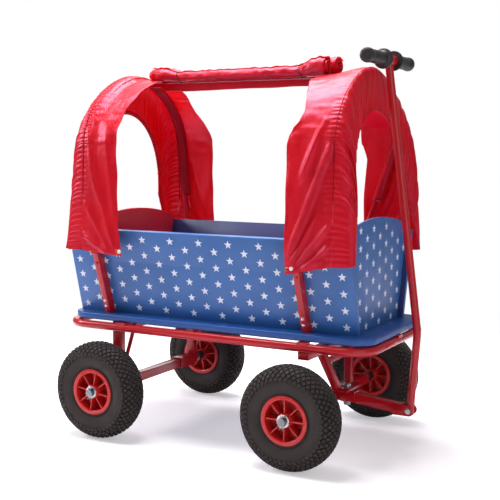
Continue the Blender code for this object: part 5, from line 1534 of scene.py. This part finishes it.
@dataclass
class Cover:
    """One end's cloth: a plain panel over the hoop up to a piped seam, then a skirt gathered by elastic."""

    label: str
    away: int
    hoop: float
    leg: float
    seam: float
    dip: float
    edge_foot: float
    hem_crest: float
    hem_foot: float
    hem_foot_half: float
    edge_wave: dict[int, list[tuple[float, float]]]
    folds: dict[int, list[Fold]]
    snaps: list[tuple[float, float]]
    seed: float
    arch: Arch = field(default_factory=Arch)
    crest: float = CREST
    dip_crest: float = 0.9598
    cloth: float = 0.0009
    hem_half: float = 0.186
    hem_spring: float = 0.630
    hem_top: float = 0.868
    hem_power: float = 2.0
    hem_z: float = 0.500
    belly: float = 0.020
    long_depth: float = 0.0036
    swoop: float = 0.055
    piping_end: float = 0.84
    # Cut lengths in metres, measured along the modelled rows
    panel_cut: float = 1.27
    sleeve_cut: float = 0.94
    panel_grid: tuple[int, int] = (560, 60)
    skirt_grid: tuple[int, int] = (1080, 36)

    def edge_x(self, share: float) -> float:
        """X of the plain edge, which wanders along the arch."""
        points = self.edge_wave[1 if share > 0 else -1]
        size = abs(share)
        for (s0, x0), (s1, x1) in zip(points, points[1:]):
            if size <= s1:
                return x0 + (x1 - x0) * (0.5 * eased(size, s0, s1) + 0.5 * (size - s0) / (s1 - s0))
        return points[-1][1]

    def panel_point(self, share: float, t: float) -> Vector:
        """A point of the plain panel before its folds: t runs from the edge to the seam."""
        start = self.edge_x(share)
        x = start + (self.seam - start) * t
        climb = eased((x - self.dip) / (self.hoop - self.dip), 0.0, 1.0)
        crest = self.dip_crest + (self.crest - self.dip_crest) * climb
        foot = self.edge_foot + (self.hem_z - self.edge_foot) * t * 0.8
        y, z = self.arch.at(share, crest, foot)
        return Vector((x, y, z))

    def hem_point(self, share: float) -> Vector:
        """A point of the gathered hem's line."""
        low = Arch(self.hem_half, self.hem_spring, self.hem_power, self.hem_foot_half)
        y, z = low.at(share, self.hem_top, self.hem_z)
        lowered = (self.hem_top - z) / (self.hem_top - self.hem_z)
        return Vector((self.hem_crest + (self.hem_foot - self.hem_crest) * lowered, y, z))

    def outward(self, share: float) -> Vector:
        """The arch's outward direction at a place."""
        a = self.panel_point(max(share - 0.01, -1), 0.9)
        b = self.panel_point(min(share + 0.01, 1), 0.9)
        along = b - a
        return Vector((0, -along.z, along.y)).normalized()

    def relief(self, share: float, t: float, point: Vector) -> float:
        """How far folds, slack and crumples push the plain panel out."""
        size, s = abs(share), self.seed
        rise = sum(fold.lift(point.x, point.z) for fold in self.folds[1 if share > 0 else -1])
        rise *= eased(size, 0.40, 0.60)
        slack = waver(point.x * 1.6 + s, point.y, point.z * 0.45, 0.05) * 0.0042 * eased(size, 0.25, 0.6)
        crumple = waver(point.x + point.z * 0.6 + s, point.y * 0.4, point.z * 0.5 - point.x, 0.017) * 0.0006
        crown = waver(point.x * 0.8 + s, point.y * 2.4, point.z * 2.4, 0.040) * 0.0015
        crown *= 1 - eased(size, 0.55, 0.75)
        # Short radial puckers where the seam's piping draws the cloth in
        pucker = math.sin(share * 310 + 5 * waver(share * 4, s, 0, 0.3)) * 0.0005 * eased(t, 0.72, 0.96)
        fade = eased(t, 0.0, 0.07) * (1 - 0.9 * eased(t, 0.88, 1.0))
        ripple = 0.0014 * math.sin(size * 46 + s * 3) * bump_at(t, 0.0, 0.10)
        return (rise + slack + crown + crumple) * fade + ripple + pucker

    def surface(self, share: float, t: float) -> Vector:
        """A point of the finished panel, dented where a rolled side cloth lies on it."""
        point = self.panel_point(share, t)
        point += self.outward(share) * self.relief(share, t, point)
        if abs(share) < 0.3:
            point.z = min(point.z, *(line.underside(point.x, point.y) for line in ROLL_LINES))
        return point

    def gathered(self, share: float) -> float:
        """How strongly the hem is gathered there: 1 over the arch, 0 in the plain corners."""
        return 1 - eased(abs(share), 0.755, 0.815)

    def pleat(self, share: float, q: float) -> float:
        """The gathers' height: long swooping folds, finer ones lower down and close ones in the hem."""
        s, side = self.seed, 1 if share > 0 else -1
        u = share - side * self.swoop * q * (1 + 0.3 * q)
        coarse = u * 13 + 1.1 * waver(u * 2, s, 7.7, 0.4)
        middle = u * 36 + 1.4 * waver(u * 3, s, 1.3, 0.4)
        fine = u * 68 + 1.2 * waver(u * 5, s, 0.0, 0.3)
        long_fold = 1 - 2 * abs(math.sin(math.pi * coarse)) ** 0.75
        long_fold *= self.long_depth * eased(q, 0.0, 0.3) * (1 - 0.6 * eased(q, 0.7, 1.0))
        gather = math.sin(math.tau * middle) * (0.6 + 0.5 * waver(u * 9, s, 3.1, 0.4))
        close = math.sin(math.tau * fine) * (0.7 + 0.5 * waver(u * 14, s, 5.1, 0.4))
        middling = gather * 0.62 * (self.long_depth + 0.0005) * eased(q, 0.15, 0.8)
        return long_fold + middling + close * 0.0026 * eased(q, 0.66, 1.0)

    def skirt_point(self, share: float, q: float) -> Vector:
        """A point of the gathered skirt: q runs from the seam to the hem."""
        top, low = self.surface(share, 1.0), self.hem_point(share)
        # Flat over the crest and in the corners, full on the shoulders and the legs
        full = 0.25 + 0.75 * eased(abs(share), 0.22, 0.55)
        loose = (1 - abs(share) ** 8) * full
        turn = Vector((low.x + self.away * self.belly * loose, top.y, top.z))
        point = top.lerp(turn, q).lerp(turn.lerp(low, q), q)
        away = Vector((self.away * (0.25 + 0.6 * q), 0, 0))
        normal = (self.outward(share) * (1 - 0.5 * q) + away).normalized()
        corner = (1 - self.gathered(share)) * 0.0025 * math.sin(math.pi * q)
        wander = waver(point.x + self.seed, point.y, point.z, 0.05)
        height = self.pleat(share, q) * self.gathered(share) * (0.3 + 0.7 * full) + corner * wander
        return point + normal * height

    def sheet(
        self,
        name: str,
        rows: list[list[Vector]],
        finish: Finish,
    ) -> bpy.types.Object:
        """Args:
            name: the piece's name after the cover's label.
            rows: the points, row by row, without the frame's shift.
            finish: its look.

        Returns:
            The finished piece.
        """
        mesh = lattice([[p + SHIFT_VECTOR for p in row] for row in rows])
        piece = new_piece(f"{self.label}_cover_{name}", mesh, finish, 80)
        if self.away < 0:
            flip(piece.data)
        thicken(piece, self.cloth, -1)
        return piece

    def panel(self) -> bpy.types.Object:
        """The plain panel, from its free edge to the seam."""
        columns, steps = self.panel_grid
        self.shares = spread(columns)
        self.rows = [[self.surface(share, i / steps) for share in self.shares] for i in range(steps + 1)]
        return self.sheet("panel", self.rows, RED_NYLON)

    def skirt(self) -> bpy.types.Object:
        """The gathered skirt, with the elastic's casing turned in behind its hem."""
        columns, steps = self.skirt_grid
        shares = spread(columns)
        rows = [[self.skirt_point(share, i / steps) for share in shares] for i in range(steps + 1)]
        last, before = rows[-1], rows[-5]
        inward = Vector((-self.away, 0, 0))
        for back, depth in ((0.001, 0.0016), (0.005, 0.0026), (0.011, 0.0028)):
            rows.append([
                a + (b - a).normalized() * back + (inward * 0.9 - self.outward(share) * 0.4) * depth
                for share, a, b in zip(shares, last, before)
            ])
        return self.sheet("skirt", rows, RED_NYLON)

    def leg_x(self, z: float) -> float:
        """X of the hoop at a height: over its socket low down, in the arch's plane higher up."""
        t = min(max((z - SOCKET_TOP - 0.010) / (self.arch.spring - SOCKET_TOP), 0), 1)
        return self.leg + (self.hoop - self.leg) * t

    def sleeve(self) -> bpy.types.Object:
        """The doubled strip inside the cover that holds the hoop, open below at the flat ends."""
        rows, reach = [], 0.80
        for s in spread(14):
            depth = 0.0022 + 0.0152 * (1 - s * s) ** 0.7
            row = []
            for step in spread(240):
                share = reach * step
                y, z = self.arch.at(share, self.crest, LEG_END)
                point = Vector((self.leg_x(z) + s * SLEEVE_HALF, y, z))
                row.append(point - self.outward(share) * (depth + 0.0006 * waver(y, z, s, 0.02)))
            rows.append(row)
        # Only the rear sleeve takes the deeper red, painted shade on the doubled cloth.
        finish = SHADED_DOUBLE_NYLON if self.away < 0 else RED_NYLON
        return self.sheet("hoop_sleeve", rows, finish)

    def trims(self) -> None:
        """Piping on the seam, two lines of stitches along the plain edge, and the snaps."""
        piped = [share for share in self.shares[::2] if abs(share) < self.piping_end]
        raised = [
            self.surface(share, 1.0) + self.outward(share) * (0.0009 - 0.0030 * eased(abs(share), 0.76, 0.84))
            for share in piped
        ]
        piping = sweep([p + SHIFT_VECTOR for p in raised], 0.0014, 8)
        # The piping's deeper red is painted shade.
        add_part(f"{self.label}_cover_piping", piping, SHADED_DOUBLE_NYLON, 60, "canopy", "red_nylon")
        lines = []
        for row in (3, 6):
            stitched = zip(self.rows[row], self.shares)
            lines.append([p + self.outward(s) * 0.0002 + SHIFT_VECTOR for p, s in stitched][::3])
        add_part(f"{self.label}_cover_stitches", stitch_along(lines), THREAD, None, "canopy", "red_nylon")
        rings, domes = [], []
        for side in (-1, 1):
            for index, (share, t) in enumerate(self.snaps):
                place = self.surface(side * share, t) + SHIFT_VECTOR
                if index == 0:
                    rings.append(snap_ring(place, side))
                else:
                    domes.append(snap_dome(place, side))
        add_part(f"{self.label}_cover_eyelets", joined(rings), BRASS, 40, "canopy", "zinc_steel")
        add_part(f"{self.label}_cover_snaps", joined(domes), PEARL, 50, "canopy", "")

    def build(self) -> None:
        """Makes the panel, the skirt, the sleeve and the trims."""
        hand_over(self.panel(), "canopy", "red_nylon", f"{self.label}_cover")
        hand_over(self.skirt(), "canopy", "red_nylon")
        hand_over(self.sleeve(), "canopy", "red_nylon")
        self.trims()
        LOG.info("%s cover: panel, skirt, sleeve and trims", self.label)


def flip(mesh: bpy.types.Mesh) -> None:
    """Turns a sheet's faces over."""
    with editing(mesh) as shape:
        bmesh.ops.reverse_faces(shape, faces=shape.faces)


def snap_ring(place: Vector, side: int) -> bpy.types.Mesh:
    """A brass eyelet lying on the cloth, facing outwards on the given side."""
    inner, outer = 0.0028, 0.0060
    outline = [(inner, 0.0), (0.0034, 0.0013), (0.0048, 0.0014)]
    outline += [(outer, 0.0005), (outer, -0.0005), (inner, -0.0005)]
    return moved(lathe(outline, 24), along_axle(place, side))


def snap_dome(place: Vector, side: int) -> bpy.types.Mesh:
    """A snap's round white cap, facing outwards on the given side."""
    outline = [(0, 0.0036), (0.0022, 0.0033), (0.0044, 0.0021)]
    outline += [(0.0058, 0.0003), (0.0058, -0.0006), (0, -0.0006)]
    return moved(lathe(outline, 24, closed=False), along_axle(place, side))


@dataclass
class Roll:
    """A side cloth wound up along the ridge: one sheet in a loose spiral, drawn in by two thin ties."""

    label: str
    line: RollLine
    turns: float = 4.6
    core: float = 0.0035
    per_turn: int = 40
    stations: int = 120
    cloth: float = 0.0008
    ties: tuple[float, float] = (-0.190, 0.185)

    def swell(self, x: float, angle: float) -> float:
        """The roll's outline at a place against its full radius: ties draw it in, slack cloth crumples."""
        s = self.line.side * 3.7
        around = Vector((math.cos(angle), math.sin(angle), 0))
        twist = waver(around.x * 0.030 + x * 0.8, around.y * 0.030 + s, x * 1.5, 0.030)
        ridge = abs(waver(around.x * 0.018 + x * 0.8, around.y * 0.018 - x * 0.6 + s, x * 0.3, 0.026))
        waist = sum(0.12 * bump_at(x, tie, 0.012) for tie in self.ties)
        pleat = sum(0.035 * math.sin(angle * 11 + s) * bump_at(x, tie, 0.030) for tie in self.ties)
        return 1.05 + 0.12 * twist - 0.24 * ridge - waist + pleat

    def outline_point(self, x: float, angle: float, share: float) -> Vector:
        """A point of the spiral: share runs from its core to its outer edge."""
        radius = (self.core + (self.line.radius(x) - self.core) * share) * self.swell(x, angle)
        return self.line.axis(x) + Vector((0, math.cos(angle) * radius, math.sin(angle) * radius))

    def build(self) -> None:
        """Makes the wound sheet and its ties."""
        count = int(self.turns * self.per_turn)
        rows = []
        for i in range(self.stations + 1):
            t = i / self.stations
            x = self.line.rear + (self.line.front - self.line.rear) * t
            row = []
            for k in range(count + 1):
                share = k / count
                angle = -1.9 - self.line.side * math.tau * k / self.per_turn
                # Each turn ends a little off the one before
                slip = 0.0035 * math.sin(share * 13) * (eased(t, 0.9, 1.0) - (1 - eased(t, 0.0, 0.1)))
                row.append(self.outline_point(x, angle, share) + Vector((slip + SHIFT, 0, 0)))
            rows.append(row)
        piece = new_piece(f"{self.label}_side_cloth", lattice(rows), ROLLED_NYLON, 80)
        thicken(piece, self.cloth, 0)
        hand_over(piece, "canopy", "red_nylon", f"side_cloth_roll_{self.label}")
        rings = []
        for tie in self.ties:
            loop = []
            for k in range(49):
                angle = math.tau * k / 48
                spot = tie + 0.006 * math.cos(angle + 0.6)
                centre = self.line.axis(spot)
                point = self.outline_point(spot, angle, 1.0)
                loop.append(centre + (point - centre) * 1.05 + SHIFT_VECTOR)
            rings.append(sweep(loop, 0.0011, 8))
        add_part(f"{self.label}_side_ties", joined(rings), TIE_CORD, 60, "canopy", "red_nylon")


@dataclass
class Ridge:
    """The cloth sleeve over the ridge bar, with pale cords on both sides as a painted highlight."""

    rear: float = -0.3300
    front: float = 0.2494
    bar_z: float = 0.9516
    outer: float = 0.0078
    hem: float = 0.9338
    rear_sag: float = 0.0045
    cloth: float = 0.0010
    stations: int = 96

    def edge(self, x: float, side: int) -> Vector:
        """A point of a hanging edge."""
        sag = self.rear_sag * (1 - eased(x, -0.24, self.front)) + 0.0012 * waver(x, side, 0, 0.06)
        tucked = 1 - eased(x, -0.262, -0.246)
        out = self.outer + 0.0010 * waver(x, side * 3, 1, 0.05)
        return Vector((x, side * (out - 0.0014 * tucked), self.hem - sag + 0.012 * tucked))

    def build(self) -> None:
        """Makes the sleeve and the pale cords along both its sides, a painted highlight."""
        rows = []
        for i in range(self.stations + 1):
            x = self.rear + (self.front - self.rear) * i / self.stations
            row = []
            # Its rear end slips in close under the rear cover.
            outer = self.outer - 0.0014 * (1 - eased(x, -0.246, -0.236))
            right, left = self.edge(x, -1), self.edge(x, 1)
            for k in range(7):
                row.append(right.lerp(Vector((x, -outer, self.bar_z)), k / 7))
            for k in range(13):
                angle = math.pi * (1 - k / 12)
                row.append(Vector((x, math.cos(angle) * outer, self.bar_z + math.sin(angle) * outer)))
            for k in range(1, 8):
                row.append(Vector((x, outer, self.bar_z)).lerp(left, k / 7))
            rows.append([p + SHIFT_VECTOR for p in row])
        piece = new_piece("ridge_band_cloth", lattice(rows), RED_NYLON, 80)
        thicken(piece, self.cloth, 1)
        hand_over(piece, "canopy", "red_nylon", "ridge_band")
        # The pale cords along both sides are a painted highlight on the band.
        cords = []
        start = -0.242
        for side in (-1, 1):
            line = []
            for i in range(61):
                x = start + (self.front - start) * i / 60
                rise = 0.0010 * waver(x, side, 2, 0.05)
                line.append(Vector((x + SHIFT, side * (self.outer + 0.0016), self.bar_z + rise)))
            cords.append(sweep(line, 0.0013, 8))
        add_part("ridge_band_highlight_cord", joined(cords), PALE_CORD_AND_HIGHLIGHT, 60, "canopy", "red_nylon")


@dataclass
class Canopy:
    """Hoops, ridge, covers and the rolled side cloths."""

    hoop_tube: float = 0.007
    inset: float = 0.0091
    foot_y: float = 0.2318
    casing: float = 0.0079

    def hoops(self, covers: Iterable[Cover]) -> None:
        """Smooth hoops on the CAD hoops' own line, with a close cloth casing over each leg."""
        arch, count = Arch(), 120
        for cover in covers:
            low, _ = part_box(f"hoop_{cover.label}")
            points = []
            for share in spread(count):
                y, z = arch.at(share, CREST, LEG_END)
                inwards = cover.outward(share) * -self.inset
                y, z = y + inwards.y, z + inwards.z
                if z > SOCKET_TOP + 0.045:
                    points.append(Vector((cover.leg_x(z) + SHIFT, y, z)))
            feet = []
            for side in (-1, 1):
                heights = (low.z, 0.530, SOCKET_TOP + 0.006)
                feet.append([Vector((cover.leg + SHIFT, side * self.foot_y, z)) for z in heights])
            line = feet[0] + points + feet[1][::-1]
            name, tube = f"hoop_{cover.label}", sweep(line, self.hoop_tube, 20)
            add_part(f"{name}_tube", tube, ZINC, 40, "canopy", "hoop_steel", name)
            casings = []
            for leg, foot in ((points, feet[0]), (points[::-1], feet[1])):
                top = [p for p in leg[: count // 2] if p.z < 0.635]
                path = smooth_path([foot[-1] + Vector((0, 0, 0.003)), *top], 3)
                casings.append(sweep(path, self.casing, 20))
            add_part(f"{cover.label}_cover_casings", joined(casings), RED_NYLON, 50, "canopy", "red_nylon")

    def build(self) -> None:
        """Makes all of the canopy."""
        front = Cover(
            "front", 1, hoop=0.355, leg=0.2688, seam=0.370, dip=0.265, edge_foot=0.470,
            hem_crest=0.379, hem_foot=0.426, hem_foot_half=0.229,
            edge_wave={
                -1: [
                    (0.0, 0.246), (0.16, 0.239), (0.264, 0.256), (0.349, 0.272), (0.409, 0.277),
                    (0.464, 0.272), (0.507, 0.258), (0.551, 0.250), (0.60, 0.247), (0.92, 0.247), (1.0, 0.252),
                ],
                1: [(0.0, 0.250), (0.30, 0.252), (0.58, 0.248), (0.65, 0.265), (0.77, 0.255), (1.0, 0.253)],
            },
            folds={
                -1: [
                    Fold((0.262, 0.520), (0.372, 0.800), 0.0165, 0.0070),
                    Fold((0.266, 0.490), (0.330, 0.620), 0.0070, 0.0060),
                    Fold((0.280, 0.492), (0.380, 0.610), 0.0090, 0.0055),
                    Fold((0.300, 0.486), (0.384, 0.560), 0.0070, 0.0060),
                    Fold((0.286, 0.690), (0.345, 0.850), 0.0085, 0.0090),
                    Fold((0.264, 0.474), (0.350, 0.510), 0.0040, 0.0060),
                ],
                1: [
                    Fold((0.262, 0.520), (0.372, 0.800), 0.0120, 0.0090),
                    Fold((0.266, 0.490), (0.352, 0.680), 0.0070, 0.0080),
                    Fold((0.275, 0.484), (0.372, 0.620), 0.0060, 0.0070),
                ],
            },
            snaps=[(0.985, 0.065), (0.985, 0.160)],
            seed=1.7,
        )
        rear = Cover(
            "rear", -1, hoop=-0.345, leg=-0.3290, seam=-0.360, dip=-0.310, edge_foot=0.487,
            hem_crest=-0.388, hem_foot=-0.412, hem_foot_half=0.251,
            edge_wave={
                -1: [
                    (0.0, -0.238), (0.165, -0.243), (0.26, -0.243), (0.35, -0.248), (0.44, -0.2505),
                    (0.516, -0.254), (0.614, -0.253), (0.713, -0.248), (0.813, -0.245), (0.884, -0.2425),
                    (0.934, -0.236), (1.0, -0.230),
                ],
                1: [
                    (0.0, -0.240), (0.20, -0.262), (0.36, -0.269), (0.45, -0.250), (0.56, -0.236),
                    (0.75, -0.239), (1.0, -0.238),
                ],
            },
            folds={
                -1: [
                    Fold((-0.250, 0.500), (-0.345, 0.760), 0.0080, 0.0130),
                    Fold((-0.262, 0.492), (-0.362, 0.640), 0.0060, 0.0100),
                    Fold((-0.270, 0.490), (-0.362, 0.545), 0.0065, 0.0080),
                    Fold((-0.300, 0.620), (-0.362, 0.860), 0.0060, 0.0150),
                    Fold((-0.256, 0.600), (-0.290, 0.820), 0.0045, 0.0120),
                ],
                1: [
                    Fold((-0.250, 0.500), (-0.345, 0.760), 0.0070, 0.0140),
                    Fold((-0.262, 0.492), (-0.362, 0.640), 0.0050, 0.0110),
                ],
            },
            snaps=[(0.985, 0.085), (0.985, 0.045)],
            seed=5.3,
            long_depth=0.0012,
            panel_cut=1.24,
            sleeve_cut=0.92,
        )
        self.hoops((front, rear))
        for cover in (front, rear):
            cover.build()
        dress_steel(["ridge_bar"], ZINC, "hoop_steel", 0.0005)
        Ridge().build()
        for line, label in zip(ROLL_LINES, ("left", "right")):
            Roll(label, line).build()
        self.string()
        LOG.info("canopy: hoops, ridge, covers, rolled side cloths")

    def string(self) -> None:
        """A short loose end of cord that hangs from the rear sleeve's left end."""
        points = ((-0.352, 0.226, 0.612), (-0.350, 0.224, 0.598), (-0.353, 0.221, 0.575))
        line = smooth_path([Vector(p) + SHIFT_VECTOR for p in points], 6)
        piece = new_piece("rear_cover_string", sweep(line, 0.0008, 8), PALE_CORD_AND_HIGHLIGHT, 60)
        hand_over(piece, "canopy", "red_nylon")


def main() -> None:
    """Builds every sub-assembly in turn."""
    logging.basicConfig(level=logging.INFO, format="%(message)s")
    Studio().build()
    Chassis().build()
    Wheels().build()
    BoxBody().build()
    Steering().build()
    PullHandle().build()
    Canopy().build()


if __name__ == "__main__":
    main()
